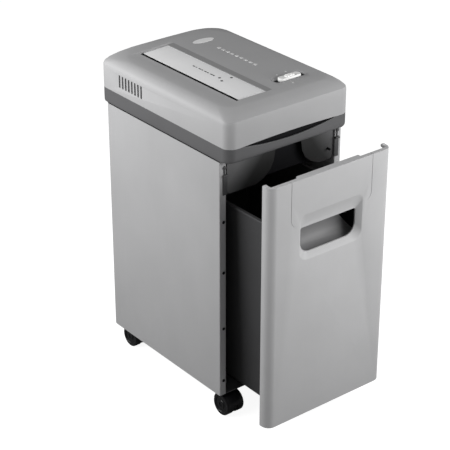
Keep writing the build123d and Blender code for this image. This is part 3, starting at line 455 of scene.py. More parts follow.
# ---------------------------------------------------------------- modelling
class Form:
    """Solids in the making, in millimetres, that end as one piece of the machine."""

    def __init__(self) -> None:
        """Start with an empty mesh."""
        self.mesh = bmesh.new()

    def block(self, x: Span, y: Span, z: Span, edge: float = 0.0, segments: int = 2) -> "Form":
        """Add a box from three (low, high) pairs, its edges rounded.

        Args:
            x: low and high along X.
            y: low and high along Y.
            z: low and high along Z.
            edge: the radius of its edges.
            segments: how many pieces a rounded edge has.

        Returns:
            This form.
        """
        made = bmesh.ops.create_cube(self.mesh, size=1.0)["verts"]
        bmesh.ops.scale(self.mesh, vec=[high - low for low, high in (x, y, z)], verts=made)
        middle = [(low + high) / 2 for low, high in (x, y, z)]
        bmesh.ops.translate(self.mesh, vec=middle, verts=made)
        if edge:
            self.soften({e for v in made for e in v.link_edges}, edge, segments)
        return self

    def rod(self, axis: Axis, start: Point, radius: float, length: float, edge: float = 0.0,
            sides: int = 32) -> "Form":
        """Add a cylinder that leaves a point along an axis, its end edges rounded.

        Args:
            axis: the way it runs.
            start: the middle of its first end.
            radius: its radius.
            length: its length.
            edge: the rounding of its end edges.
            sides: how many sides it has.

        Returns:
            This form.
        """
        turn = Vector((0, 0, 1)).rotation_difference(axis.unit()).to_matrix().to_4x4()
        place = Matrix.Translation(Vector(start) + axis.unit() * length / 2) @ turn
        made = bmesh.ops.create_cone(
            self.mesh, cap_ends=True, segments=sides, radius1=radius, radius2=radius, depth=length,
            matrix=place,
        )["verts"]
        if edge:
            ends = {e for v in made for e in v.link_edges
                    if len([f for f in e.link_faces if len(f.verts) > 4]) == 1}
            self.soften(ends, edge, 3)
        return self

    def turned(self, axis: Axis, centre: Point, profile: list[Flat], sides: int = 48,
               sweep: float = 360.0, start_turn: float = 0.0) -> "Form":
        """Spin a profile of (radius, along) points round an axis through a centre.

        Args:
            axis: what it turns about.
            centre: a point on that axis.
            profile: the closed profile.
            sides: steps in the turn.
            sweep: how far it turns, in degrees.
            start_turn: where the turn begins, in degrees.

        Returns:
            This form.
        """
        arm = Vector((0, -1, 0)) if axis is Axis.Z else Vector((0, 0, 1))
        arm = Matrix.Rotation(math.radians(start_turn), 3, axis.unit()) @ arm
        spots = [Vector(centre) + arm * radius + axis.unit() * along for radius, along in profile]
        verts = [self.mesh.verts.new(spot) for spot in spots]
        edges = [self.mesh.edges.new(pair) for pair in zip(verts, verts[1:] + verts[:1])]
        bmesh.ops.spin(
            self.mesh, geom=verts + edges, cent=centre, axis=axis.unit(), angle=math.radians(sweep),
            steps=sides, use_merge=sweep == 360.0,
        )
        return self

    def raised(self, points: list[Point], along: Point, corner: float = 0.0, edge: float = 0.0,
               segments: int = 6, only: list[int] | None = None) -> "Form":
        """Extrude a flat polygon into a solid.

        Args:
            points: the polygon.
            along: the vector that it is extruded by.
            corner: the radius of the outline's corners.
            edge: the rounding of the two faces' edges.
            segments: how many pieces a corner's arc has.
            only: which corners are rounded, or all of them.

        Returns:
            This form.
        """
        verts = [self.mesh.verts.new(point) for point in points]
        face = self.mesh.faces.new(verts)
        made = bmesh.ops.extrude_face_region(self.mesh, geom=[face])["geom"]
        tops = [item for item in made if isinstance(item, bmesh.types.BMVert)]
        bmesh.ops.translate(self.mesh, vec=along, verts=tops)
        sides = [e for v in verts for e in v.link_edges if e.other_vert(v) in tops]
        shell = set(verts) | set(tops)
        if corner:
            picked = [sides[index] for index in only] if only is not None else sides
            fresh = self.soften(picked, corner, segments)
            shell |= {v for f in fresh for v in f.verts if v.is_valid}
        if edge:
            flat = Vector(along).normalized()
            island = self.island(next(v for v in shell if v.is_valid))
            rims = {e for v in island for e in v.link_edges if self.is_rim(e, flat)}
            self.soften(rims, edge, 2)
        return self

    @staticmethod
    def island(seed: bmesh.types.BMVert) -> set[bmesh.types.BMVert]:
        """Every vertex joined to a first one.

        Args:
            seed: the first one.

        Returns:
            The joined vertices.
        """
        found, waiting = {seed}, [seed]
        while waiting:
            vert = waiting.pop()
            for edge in vert.link_edges:
                other = edge.other_vert(vert)
                if other not in found:
                    found.add(other)
                    waiting.append(other)
        return found

    @staticmethod
    def is_rim(edge: bmesh.types.BMEdge, flat: Vector) -> bool:
        """Whether an edge parts a flat end from a side wall.

        Args:
            edge: the edge.
            flat: the flat end's direction.

        Returns:
            True where just one of its faces is flat.
        """
        if len(edge.link_faces) != 2:
            return False
        for face in edge.link_faces:
            face.normal_update()
        ends = [abs(face.normal.dot(flat)) > 0.9 for face in edge.link_faces]
        return ends[0] != ends[1]

    def stack(self, levels: list[tuple[float, float, float, float]], corner: float = 0.0,
              segments: int = 8, front_only: bool = False) -> "Form":
        """Build a column of rectangles.

        Args:
            levels: (half width, low y, high y, z) of each rectangle, from the bottom.
            corner: the radius of the standing edges.
            segments: how many pieces a corner's arc has.
            front_only: leave the rear's two standing edges sharp.

        Returns:
            This form.
        """
        half, low, high, z = levels[0]
        corners = [(-half, low), (half, low), (half, high), (-half, high)]
        ring = [self.mesh.verts.new((x, y, z)) for x, y in corners]
        face = self.mesh.faces.new(ring)
        standing = []
        for half, low, high, z in levels[1:]:
            made = bmesh.ops.extrude_face_region(self.mesh, geom=[face])["geom"]
            face = next(item for item in made if isinstance(item, bmesh.types.BMFace))
            corners = [(-half, low), (half, low), (half, high), (-half, high)]
            for index, vert in enumerate(ring):
                top = next(e.other_vert(vert) for e in vert.link_edges
                           if e.other_vert(vert) in face.verts)
                rise = next(e for e in vert.link_edges if e.other_vert(vert) is top)
                standing.append((rise, index))
                top.co = (*corners[index], z)
                ring[index] = top
        if corner:
            picked = [edge for edge, index in standing if index < 2 or not front_only]
            self.soften(picked, corner, segments)
        return self

    def soften(self, edges: object, radius: float, segments: int = 2) -> list[bmesh.types.BMFace]:
        """Round some edges."""
        return bmesh.ops.bevel(
            self.mesh, geom=list(edges), offset=radius, offset_type="OFFSET", segments=segments,
            profile=0.5, affect="EDGES", clamp_overlap=True, material=-1,
        )["faces"]

    def edges_where(self, test: object) -> list[bmesh.types.BMEdge]:
        """Every edge whose two ends pass a test."""
        return [e for e in self.mesh.edges if all(test(v.co) for v in e.verts)]

    def drop_faces(self, test: object) -> "Form":
        """Delete every face whose vertices all pass a test.

        Args:
            test: takes a vertex's place.

        Returns:
            This form.
        """
        doomed = [f for f in self.mesh.faces if all(test(v.co) for v in f.verts)]
        bmesh.ops.delete(self.mesh, geom=doomed, context="FACES")
        return self

    def loft(self, *outlines: list[Point]) -> "Form":
        """Join outlines of the same count, one after another, into a closed solid.

        Args:
            outlines: the outlines, each a list of points.

        Returns:
            This form.
        """
        rings = [[self.mesh.verts.new(point) for point in outline] for outline in outlines]
        for low, high in zip(rings, rings[1:]):
            for index, vert in enumerate(low):
                after = (index + 1) % len(low)
                self.mesh.faces.new((vert, low[after], high[after], high[index]))
        for ring in (rings[0], rings[-1]):
            self.mesh.faces.new(ring)
        return self

    def outward(self) -> "Form":
        """Merge doubles and turn every face outwards.

        Returns:
            This form.
        """
        bmesh.ops.remove_doubles(self.mesh, verts=self.mesh.verts, dist=0.002)
        bmesh.ops.recalc_face_normals(self.mesh, faces=self.mesh.faces)
        return self

    def walled(self, thickness: float) -> "Form":
        """Give an open skin a wall inside it.

        Args:
            thickness: the wall.

        Returns:
            This form.
        """
        self.outward()
        bmesh.ops.solidify(self.mesh, geom=list(self.mesh.faces), thickness=thickness)
        return self

    def copied(self) -> "Form":
        """A second form with the same solids.

        Returns:
            The new form.
        """
        twin = Form()
        twin.mesh.free()
        twin.mesh = self.mesh.copy()
        return twin

    def data(self, name: str) -> bpy.types.Mesh:
        """The mesh as a data block, in millimetres.

        Args:
            name: the block's name.

        Returns:
            The data block; the form is spent.
        """
        mesh = bpy.data.meshes.new(name)
        self.mesh.to_mesh(mesh)
        self.mesh.free()
        return mesh

    def carved(self, tools: "Form", union: bool = False, tidy: float = 0.0) -> "Form":
        """Cut other solids out of these, or join them.

        Args:
            tools: the other solids.
            union: join instead of cutting.
            tidy: the width of a bevel on the result's sharp edges.

        Returns:
            The result as a new form.
        """
        scene = bpy.context.scene
        holder = bpy.data.objects.new("carving", self.data("carving"))
        cutter = bpy.data.objects.new("tool", tools.data("tool"))
        for item in (holder, cutter):
            scene.collection.objects.link(item)
        change = holder.modifiers.new("cut", "BOOLEAN")
        change.operation = "UNION" if union else "DIFFERENCE"
        change.solver = "EXACT"
        change.use_self = True
        change.object = cutter
        if tidy:
            soft = holder.modifiers.new("soft", "BEVEL")
            soft.width, soft.segments, soft.limit_method = tidy, 2, "ANGLE"
            soft.angle_limit = math.radians(50)
            soft.harden_normals = False
        graph = bpy.context.evaluated_depsgraph_get()
        result = bpy.data.meshes.new_from_object(holder.evaluated_get(graph))
        form = Form()
        form.mesh.from_mesh(result)
        bpy.data.meshes.remove(result)
        for item in (holder, cutter):
            used = item.data
            bpy.data.objects.remove(item)
            bpy.data.meshes.remove(used)
        return form

    def piece(self, name: str, body: str, finish: bpy.types.Material, slot: str,
              stands_for: tuple[str, ...] = (), crease: float = 32.0) -> bpy.types.Object:
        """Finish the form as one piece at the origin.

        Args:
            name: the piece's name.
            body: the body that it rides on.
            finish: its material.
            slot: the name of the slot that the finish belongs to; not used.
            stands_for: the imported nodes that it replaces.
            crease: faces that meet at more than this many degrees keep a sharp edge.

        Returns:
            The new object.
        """
        bmesh.ops.remove_doubles(self.mesh, verts=self.mesh.verts, dist=0.002)
        bmesh.ops.dissolve_degenerate(self.mesh, edges=self.mesh.edges, dist=0.001)
        bmesh.ops.scale(self.mesh, vec=(MILLI, MILLI, MILLI), verts=self.mesh.verts)
        mesh = self.data(name)
        mesh.polygons.foreach_set("use_smooth", [True] * len(mesh.polygons))
        mesh.set_sharp_from_angle(angle=math.radians(crease))
        mesh.materials.append(finish)
        made = bpy.data.objects.new(name, mesh)
        bpy.context.scene.collection.objects.link(made)
        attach(made, body)
        if stands_for:
            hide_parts(*stands_for)
        LOG.info("%s: %d faces, on %s", name, len(mesh.polygons), body)
        return made


def spans(node: str) -> tuple[Span, Span, Span]:
    """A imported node's (low, high) pairs along X, Y and Z, in millimetres."""
    low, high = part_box(node)
    return tuple((low[index] / MILLI, high[index] / MILLI) for index in range(3))


def rounded(width: Span, height: Span, radii: Flat, plane: object, steps: int = 7) -> list[Point]:
    """A rounded rectangle's points.

    Args:
        width: its low and high first coordinate.
        height: its low and high second coordinate.
        radii: the radius of its lower and upper corners.
        plane: turns a pair into a point.
        steps: pieces in each corner's arc.

    Returns:
        The outline's points in order.
    """
    points = []
    lower, upper_radius = radii
    corners = ((1, 0, -90, lower), (1, 1, 0, upper_radius), (0, 1, 90, upper_radius),
               (0, 0, 180, lower))
    for right, upper, turn, radius in corners:
        middle_x = width[right] + (radius if not right else -radius)
        middle_z = height[upper] + (radius if not upper else -radius)
        for step in range(steps + 1):
            angle = math.radians(turn + 90 * step / steps)
            spot = (middle_x + radius * math.cos(angle), middle_z + radius * math.sin(angle))
            points.append(plane(*spot))
    return points


# ---------------------------------------------------------------- cabinet
@dataclass
class Cabinet:
    """The folded sheet body, its mouth's metalwork and its cord bush."""

    finishes: Finishes
    sheet: float = 1.0
    rear_radius: float = 14.0
    flange: float = 13.3
    lip: float = 12.0
    fold: float = 1.6
    band: float = 6.0
    plate: float = 1.5
    plate_corner: float = 7.0
    sight_middle: float = 15.0
    sight_outline: tuple[Flat, ...] = (
        (-66.0, -6.0), (66.0, -6.0), (66.0, 0.0), (50.0, 7.0), (37.0, 18.0), (30.0, 32.0),
        (27.0, 50.0), (-27.0, 50.0), (-30.0, 32.0), (-37.0, 18.0), (-50.0, 7.0), (-66.0, 0.0),
    )
    screw_radius: float = 2.7
    screw_x: float = 119.5
    screw_heights: tuple[float, ...] = (76.0, 177.0, 282.0, 374.0)
    screw_head: float = 1.4
    screw_dome: tuple[Flat, ...] = (
        (0.0, 0.0), (1.0, 0.0), (1.0, -0.5), (0.8, -1.1), (0.45, -1.38), (0.0, -1.4),
    )
    screw_cross: tuple[Flat, ...] = ((1.6, 0.35), (0.35, 1.6))
    cross_depth: float = 0.7
    ear_x: Span = (112.5, 121.5)
    ear_fold: Span = (33.0, 36.0)
    tab_x: Span = (116.5, 119.5)
    tab_z: Span = (456, 470)
    ear_screw: Flat = (118.0, 470.0)
    bush_set: float = 9.0
    bush_bore: float = 3.8
    bush_ribs: tuple[Flat, ...] = (
        (6.0, -5.0), (6.0, 0.0), (9.0, 0.0), (9.0, 2.4), (8.4, 3.0), (7.2, 3.0), (7.0, 4.2),
        (6.3, 4.6), (7.0, 5.2), (6.8, 6.4), (6.2, 6.8), (6.7, 7.4), (6.5, 8.5), (6.0, 9.0),
    )

    def build(self) -> None:
        """Make every piece of the cabinet."""
        self.wrap()
        self.header()
        self.screws()
        self.brackets()
        self.cord_bush()

    def wrap(self) -> None:
        """One folded sheet: flanges, sides and rear."""
        x, y, z = spans("cabinet_wrap")
        form = Form()
        half, inner = x[1], x[1] - self.flange
        path = [(-inner, y[0] + self.lip), (-inner, y[0]), (-half, y[0]), (-half, y[1]),
                (half, y[1]), (half, y[0]), (inner, y[0]), (inner, y[0] + self.lip)]
        verts = [form.mesh.verts.new((px, py, z[0])) for px, py in path]
        edges = [form.mesh.edges.new(pair) for pair in zip(verts, verts[1:])]
        made = bmesh.ops.extrude_edge_only(form.mesh, edges=edges)["geom"]
        tops = [item for item in made if isinstance(item, bmesh.types.BMVert)]
        bmesh.ops.translate(form.mesh, vec=(0, 0, z[1] - z[0]), verts=tops)
        standing = [e for v in verts for e in v.link_edges
                    if e.other_vert(v) in tops and len(e.link_faces) == 2]
        rear = [e for e in standing if e.verts[0].co.y > y[1] - 1]
        front = [e for e in standing if e.verts[0].co.y < y[0] + 1]
        form.soften(rear, self.rear_radius, 14)
        form.soften([e for e in front if e.is_valid], self.fold, 4)
        for height in (z[0] + self.band, z[1] - self.band):
            bmesh.ops.bisect_plane(
                form.mesh, geom=form.mesh.verts[:] + form.mesh.edges[:] + form.mesh.faces[:],
                plane_co=(0, 0, height), plane_no=(0, 0, 1),
            )
        middle = Vector((0, (y[0] + y[1]) / 2, 0))
        side = next(f for f in form.mesh.faces if f.calc_center_median().x < -half + 0.1)
        side.normal_update()
        if side.normal.dot(side.calc_center_median() - middle) < 0:
            bmesh.ops.reverse_faces(form.mesh, faces=form.mesh.faces)
        bmesh.ops.solidify(form.mesh, geom=list(form.mesh.faces), thickness=self.sheet)
        form.piece("cabinet_sheet", "cabinet", self.finishes["cabinet_powder_coat"],
                   "cabinet_paint", ("cabinet_wrap",), 40.0)

    def header(self) -> None:
        """Plate across the mouth's top with its arched sight opening and rounded lower corners."""
        x, y, z = spans("header_plate")
        corners = [(x[0], y[0], z[0]), (x[1], y[0], z[0]), (x[1], y[0], z[1]), (x[0], y[0], z[1])]
        form = Form().raised(corners, (0, self.plate, 0), self.plate_corner, 0.0, 8, [0, 1])
        form.block(x, (y[0] + 0.2, y[1]), (z[1] - self.plate, z[1]), 0.4)
        arch = [(self.sight_middle + across, y[0] - 3, z[0] + up)
                for across, up in self.sight_outline]
        tools = Form().raised(arch, (0, 10, 0))
        form.outward()
        tools.outward()
        # its paint darkens round the sight opening: painted shade
        form.carved(tools).piece("mouth_header", "cabinet", self.finishes["header_painted_shade"],
                                 "panel_dark", ("header_plate",))

    def screws(self) -> None:
        """Pan-head screws with driver crosses in the flanges."""
        low = spans("flange_screws")[1][0]
        form, tools = Form(), Form()
        dome = [(self.screw_radius * share, along) for share, along in self.screw_dome]
        for side in Side:
            x = side.value * self.screw_x
            for height in self.screw_heights:
                form.turned(Axis.Y, (x, low + self.screw_head, height), dome, 20)
                for wide, tall in self.screw_cross:
                    tools.block((x - wide, x + wide), (low - 1, low + self.cross_depth),
                                (height - tall, height + tall))
        form.outward()
        form.carved(tools).piece("flange_screw_heads", "cabinet", self.finishes["black_moulding"],
                                 "black_plastic", ("flange_screws",))

    def brackets(self) -> None:
        """Folded brackets at the flanges' tops."""
        _, y, z = spans("top_brackets")
        fold, top = self.ear_fold
        screw_x, screw_z = self.ear_screw
        form = Form()
        for side in Side:
            ear = sorted(side.value * place for place in self.ear_x)
            form.block(ear, (y[1] - 1.5, y[1]), (z[0], z[0] + top), 0.5)
            form.block(ear, (y[0], y[1]), (z[0] + fold, z[0] + top), 0.8)
            form.rod(Axis.Y, (side.value * screw_x, y[1] - 3.2, screw_z), 2.6, 3.2, 0.6, 24)
            tab = sorted(side.value * place for place in self.tab_x)
            form.block(tab, (y[1] - 1.2, y[1]), self.tab_z, 0.3)
        form.piece("mouth_brackets", "cabinet", self.finishes["panel_dark_paint"], "panel_dark",
                   ("top_brackets",))

    def cord_bush(self) -> None:
        """Ribbed round bush for a mains lead, on the rear sheet."""
        x, y, z = spans("cord_gland")
        centre = ((x[0] + x[1]) / 2, y[1] - self.bush_set, (z[0] + z[1]) / 2)
        inner, outer = self.bush_ribs[0][1], self.bush_ribs[-1][1]
        profile = [(self.bush_bore, inner), *self.bush_ribs, (self.bush_bore, outer)]
        form = Form().turned(Axis.Y, centre, profile, 40)
        form.outward().piece("cord_bush", "cabinet", self.finishes["black_moulding"],
                             "black_plastic", ("cord_gland",), 50.0)


# ---------------------------------------------------------------- head
@dataclass
class Head:
    """The shredding head's housing, cover, entry tray, switch and badges."""

    finishes: Finishes
    corner: float = 17.0
    wall: float = 2.5
    shoulder: float = 551.0
    rim: float = 563.0
    side_inset: float = 19.5
    front_inset: float = 28.0
    rear_inset: float = 13.0
    rim_rear: float = 561.8
    rise_front: float = 0.4
    rise_rear: float = 2.6
    flank: tuple[tuple[float, float, float, float], ...] = (
        (0.0, 0.0, 0.0, 543.0), (0.0, 0.0, 0.0, 547.0), (0.05, 0.02, 0.05, 551.0),
        (0.18, 0.24, 0.17, 555.0), (0.42, 0.56, 0.42, 559.0), (0.68, 0.82, 0.70, 561.6),
        (0.92, 0.96, 0.92, 562.8), (1.0, 1.0, 1.0, 563.0),
    )
    corner_growth: Flat = (8.0, 46.0)
    grid: tuple[int, int] = (28, 16)
    gap: float = 0.2
    cut_z: Span = (548.0, 580.0)
    slot_reach: float = 8.3
    trough_ends: Flat = (5.0, 3.0)
    trough: Span = (-14.5, -1.0)
    trough_floor: float = 562.7
    slot_side: tuple[float, float, float] = (-100.0, -75.0, 561.7)
    scoop_half: float = 98.0
    scoop_depth: float = 9.0
    lip_rise: float = 2.2
    tuck: float = 5.5
    vent_count: int = 8
    vent_pitch: float = 8.7
    vent_width: float = 4.4
    vent_heights: Span = (518.5, 541.0)
    vent_start: float = 206
    vent_corner: float = 1.6
    curve_steps: int = 24
    tuck_levels: tuple[tuple[float, float, float], ...] = (
        (1.0, 0.5, 0.0), (0.45, 0.1, 1.4), (0.1, 0.0, 4.0), (0.0, 0.0, 7.5), (0.0, 0.0, 9.5),
    )
    housing_wall: float = 3.0
    chute_x: Span = (-111, -24)
    chute_y: Span = (12, 304)
    floor_low: float = 561.2
    floor_fall: float = 1.1
    bar_lengths: tuple[float, ...] = (5.0, 3.2, 6.0, 4.2, 5.4, 3.6, 6.2, 4.4)
    bar_start: float = 186
    bar_pitch: float = 7.6
    bar_x: float = 29.0
    dots: tuple[Flat, ...] = ((1.0, 117.0), (-4.0, 105.0), (16.0, 105.0))
    track_x: Span = (40, 68)
    track_half: float = 2.2
    switch_dots: tuple[Flat, ...] = ((42.5, 25.8), (43.0, 66.0), (64.0, 69.0))
    cap_levels: tuple[Flat, ...] = ((0.0, 560.4), (0.0, 564.6), (0.5, 565.5), (1.4, 566.0))
    cap_corner: float = 6.2
    rib_pitch: float = 2.2
    badge_rings: tuple[Flat, ...] = ((0.94, 0.30), (0.86, 0.36), (0.60, 0.40), (0.30, 0.42))
    stud_count: int = 9

    def __post_init__(self) -> None:
        """Read the places of the cover and its openings."""
        self.x, self.y, self.z = spans("top_cover")
        self.entry = spans("entry_plate")
        self.switch = spans("switch_bezel")
        self.rim_x = self.x[1] - self.side_inset
        self.rim_y = (self.y[0] + self.front_inset, self.y[1] - self.rear_inset)
        self.cabinet_front = spans("cabinet_wrap")[1][0]

    def build(self) -> None:
        """Make every piece of the head."""
        self.cover()
        self.housing()
        self.entry_tray()
        self.gutter()
        self.entry_marks()
        self.switch_tray()
        self.slider()
        self.badges()

    def crown(self, x: float, y: float) -> float:
        """The height of the cover's crown at a place.

        Args:
            x: its place across the head.
            y: its place along the head.

        Returns:
            The height in millimetres.
        """
        along = (y - self.rim_y[0]) / (self.rim_y[1] - self.rim_y[0])
        along = min(1.0, max(0.0, along))
        across = min(1.0, abs(x) / self.rim_x)
        edge = self.rim + (self.rim_rear - self.rim) * along
        rise = self.rise_front + (self.rise_rear - self.rise_front) * along
        return edge + rise * (1 - across * across)

    def top(self, x: float, y: float) -> float:
        """The height of the cover's top, with the entry's sloping flank.

        Args:
            x: its place across the head.
            y: its place along the head.

        Returns:
            The height in millimetres.
        """
        height = self.crown(x, y)
        low, high = self.trough
        ends = (self.entry[1][0] - self.trough_ends[0], self.entry[1][1] + self.trough_ends[1])
        if ends[0] < y < ends[1]:
            away, near, edge = self.slot_side
            if x < near + 4.0:
                height -= (height - edge) * min(1.0, max(0.0, (x - away) / (near - away)))
            elif x < high:
                height -= (height - self.trough_floor) * min(1.0, (high - x) / (high - low))
        return height

    def ring(self, side: float, front: float, rear: float, radii: Flat,
             height: float) -> list[Point]:
        """The head's rounded outline, drawn in from its sides, front and rear."""
        width, length = (self.x[0] + side, self.x[1] - side), (self.y[0] + front, self.y[1] - rear)
        return rounded(width, length, radii, lambda a, b: (a, b, height), 10)

    def slices(self, form: Form) -> None:
        """Slice the cover's top into a grid that can be crowned.

        Args:
            form: the cover's solid, still flat on top.
        """
        span, (columns, rows) = self.rim_x, self.grid
        cuts = [(Axis.X, -span + 2 * span * step / columns) for step in range(1, columns)]
        low, high = self.trough
        cuts += [(Axis.X, place) for place in (low - 0.4, high, high - 1.2)]
        length = self.rim_y[1] - self.rim_y[0]
        cuts += [(Axis.Y, self.rim_y[0] + length * step / rows) for step in range(1, rows)]
        (front, rear), (lead, tail) = self.entry[1], self.trough_ends
        cuts += [(Axis.Y, front - lead), (Axis.Y, front - (lead - 1.0)),
                 (Axis.Y, rear + (tail - 1.0)), (Axis.Y, rear + tail)]
        for axis, place in cuts:
            faces = [f for f in form.mesh.faces if all(v.co.z > self.rim - 0.01 for v in f.verts)]
            geom = {v for f in faces for v in f.verts} | {e for f in faces for e in f.edges}
            geom |= set(faces)
            bmesh.ops.bisect_plane(form.mesh, geom=list(geom), plane_co=axis.unit() * place,
                                   plane_no=axis.unit())

    def cover(self) -> None:
        """Silver upper shell with a crowned top, vents and the openings."""
        rings = [self.ring(0.0, 0.0, 0.0, (self.corner, self.corner), self.z[0])]
        near, far = self.corner_growth
        for side, front, rear, height in self.flank:
            insets = (side * self.side_inset, front * self.front_inset, rear * self.rear_inset)
            radii = (self.corner + near * side, self.corner + far * side)
            rings.append(self.ring(*insets, radii, height))
        form = Form().loft(*rings)
        self.slices(form)
        for vert in form.mesh.verts:
            if vert.co.z > self.rim - 0.01:
                vert.co.z = self.top(vert.co.x, vert.co.y)
            elif vert.co.z > self.shoulder:
                share = (vert.co.z - self.shoulder) / (self.rim - self.shoulder)
                vert.co.z += share * (self.crown(vert.co.x, vert.co.y) - self.rim)
        form.drop_faces(lambda co: co.z < self.z[0] + 0.01)
        form.walled(self.wall)
        tools = Form()
        self.top_cuts(tools)
        self.vents(tools)
        self.lip(tools)
        tools.outward()
        form.carved(tools, tidy=0.35).piece(
            "head_cover", "cabinet", self.finishes["head_silver_plastic"], "head_silver",
            ("top_cover",), 30.0)

    def top_cuts(self, tools: Form) -> None:
        """Add the cuts for the entry with its slot, and for the switch.

        Args:
            tools: the form that they are added to.
        """
        (ex0, ex1), (ey0, ey1), _ = self.entry
        (sx0, sx1), (sy0, sy1), _ = self.switch
        gap, radii = self.gap, (7.0, 7.0)
        tools.block((ex0 - self.slot_reach, ex1 + gap), (ey0 - gap, ey1 + gap), self.cut_z)
        outline = rounded((sx0 - gap, sx1 + gap), (sy0 - gap, sy1 + gap), radii,
                          lambda a, b: (a, b, self.cut_z[0]))
        tools.raised(outline, (0, 0, 40))

    def vents(self, tools: Form) -> None:
        """Add the cuts for both flanks' rows of upright vents.

        Args:
            tools: the form that they are added to.
        """
        half, radii = self.x[1], (self.vent_corner, self.vent_corner)
        for side in Side:
            reach = sorted((side.value * (half - 9), side.value * (half + 3)))
            for index in range(self.vent_count):
                low = self.cabinet_front + self.vent_start + index * self.vent_pitch
                outline = rounded((low, low + self.vent_width), self.vent_heights, radii,
                                  lambda a, b, at=reach[0]: (at, a, b), 4)
                tools.raised(outline, (12, 0, 0))

    def lip(self, tools: Form) -> None:
        """Add the cut that arches the cover's front edge over the finger scoop.

        Args:
            tools: the form that it is added to.
        """
        half, low, middle = self.scoop_half, self.z[0] - 3, self.curve_steps // 2
        curve = [(-half, low)]
        for step in range(self.curve_steps + 1):
            across = half * (step / middle - 1)
            curve.append((across, self.z[0] + self.lip_rise * (1 - (across / half) ** 2)))
        curve.append((half, low))
        tools.raised([(across, self.y[0] - 2, height) for across, height in curve], (0, 8, 0))

    def housing(self) -> None:
        """Dark lower tray with a tucked-in lower edge and a finger scoop."""
        x, y, z = spans("lower_housing")
        radii, wall, half = (self.corner, self.corner), self.housing_wall, self.scoop_half
        levels = [(self.tuck * share, side, up) for share, side, up in self.tuck_levels]
        levels.append((0.0, 0.0, z[1] - z[0]))
        form = Form().loft(*[self.ring(side, front, side, radii, z[0] + up)
                             for front, side, up in levels])
        form.outward()
        inside = (x[1] - wall, y[0] + wall, y[1] - wall)
        tools = Form().stack([(*inside, z[0] + 3.2), (*inside, z[1] + 5)], 14.0, 8)
        chute = tuple(self.cabinet_front + place for place in self.chute_y)
        tools.block(self.chute_x, chute, (z[0] - 5, z[0] + 8))
        radius = (half ** 2 + self.scoop_depth ** 2) / (2 * self.scoop_depth)
        arc = []
        for step in range(self.curve_steps + 1):
            across = -half + 2 * half * step / self.curve_steps
            fall = radius - math.sqrt(radius ** 2 - across ** 2)
            arc.append((across, y[0] - 2, z[1] - self.scoop_depth + fall))
        arc += [(half + 6, y[0] - 2, z[1] + 6), (-half - 6, y[0] - 2, z[1] + 6)]
        tools.raised(arc, (0, 7, 0))
        tools.outward()
        form.carved(tools, tidy=0.4).piece(
            "head_housing", "cabinet", self.finishes["housing_dark_plastic"], "housing_dark",
            ("lower_housing",), 16.0)
        # a black plate behind the finger scoop: painted shade, standing in for the shade deep in
        # the scoop
        back = Form().block((-half, half), (y[0] + 5.0, y[0] + 6.0), (z[1] - 12, z[1] + 5), 0.3)
        back.piece("scoop_painted_shade", "cabinet", self.finishes["black_moulding"], "black_plastic")

    def entry_tray(self) -> None:
        """Light tray beside the slot, its floor falling towards the slot."""
        (x0, x1), (y0, y1), (low, _) = self.entry
        under = low + 0.8
        form = Form()
        for start, end in ((y0, y0 + 4.4), (y0 + 5.4, y1 - 1.0)):
            floor = [(x0, start, under + 0.4), (x0 + 1.6, start, under), (x1, start, under),
                     (x1, start, self.tray_floor(x1)), (x0 + 0.8, start, self.tray_floor(x0)),
                     (x0, start, self.tray_floor(x0) - 0.3)]
            form.raised(floor, (0, end - start, 0))
        form.block((x0 + 1.6, x1), (y0, y1), (low, under + 0.2))
        form.outward()
        form.piece("entry_tray", "cabinet", self.finishes["entry_light_plastic"], "entry_silver",
                   ("entry_plate",), 30.0)

    def gutter(self) -> None:
        """Darker inlay along the tray's high side, in the cover's trough: painted shade on the
        trough's sloping flank.
        """
        places = (self.trough[0] + 0.7, -7.6, self.trough[1] - 1.2)
        outlines = []
        for y in (self.entry[1][0] - 1.0, self.entry[1][1] + 0.5):
            skin = [(x, y, self.top(x, y) + 0.15) for x in places]
            outlines.append(skin + [(x, y, z - 0.5) for x, _, z in reversed(skin)])
        form = Form().loft(*outlines).outward()
        # the darker inlay is painted shade on the trough's flank
        form.piece("entry_trough_shade", "cabinet", self.finishes["trough_painted_shade_plastic"], "head_silver")

    def tray_floor(self, x: float) -> float:
        """The height of the entry tray's floor."""
        (x0, x1), _, _ = self.entry
        return self.floor_low + (x - x0) / (x1 - x0) * self.floor_fall

    def entry_marks(self) -> None:
        """A row of plain bars and three plain dots printed on the entry tray."""
        form = Form()
        at, base = self.entry[0][0] + self.bar_x, self.cabinet_front
        z = self.tray_floor(at)
        for index, length in enumerate(self.bar_lengths):
            low = base + self.bar_start - index * self.bar_pitch
            form.block((at - 1.1, at + 1.1), (low - length, low), (z - 0.6, z + 0.22), 0.0)
        for across, along in self.dots:
            x = at + across
            form.rod(Axis.Z, (x, base + along, self.tray_floor(x) - 0.6), 2.2, 0.85, 0.0, 20)
        form.piece("entry_marks", "cabinet", self.finishes["marking_ink"], "panel_dark")

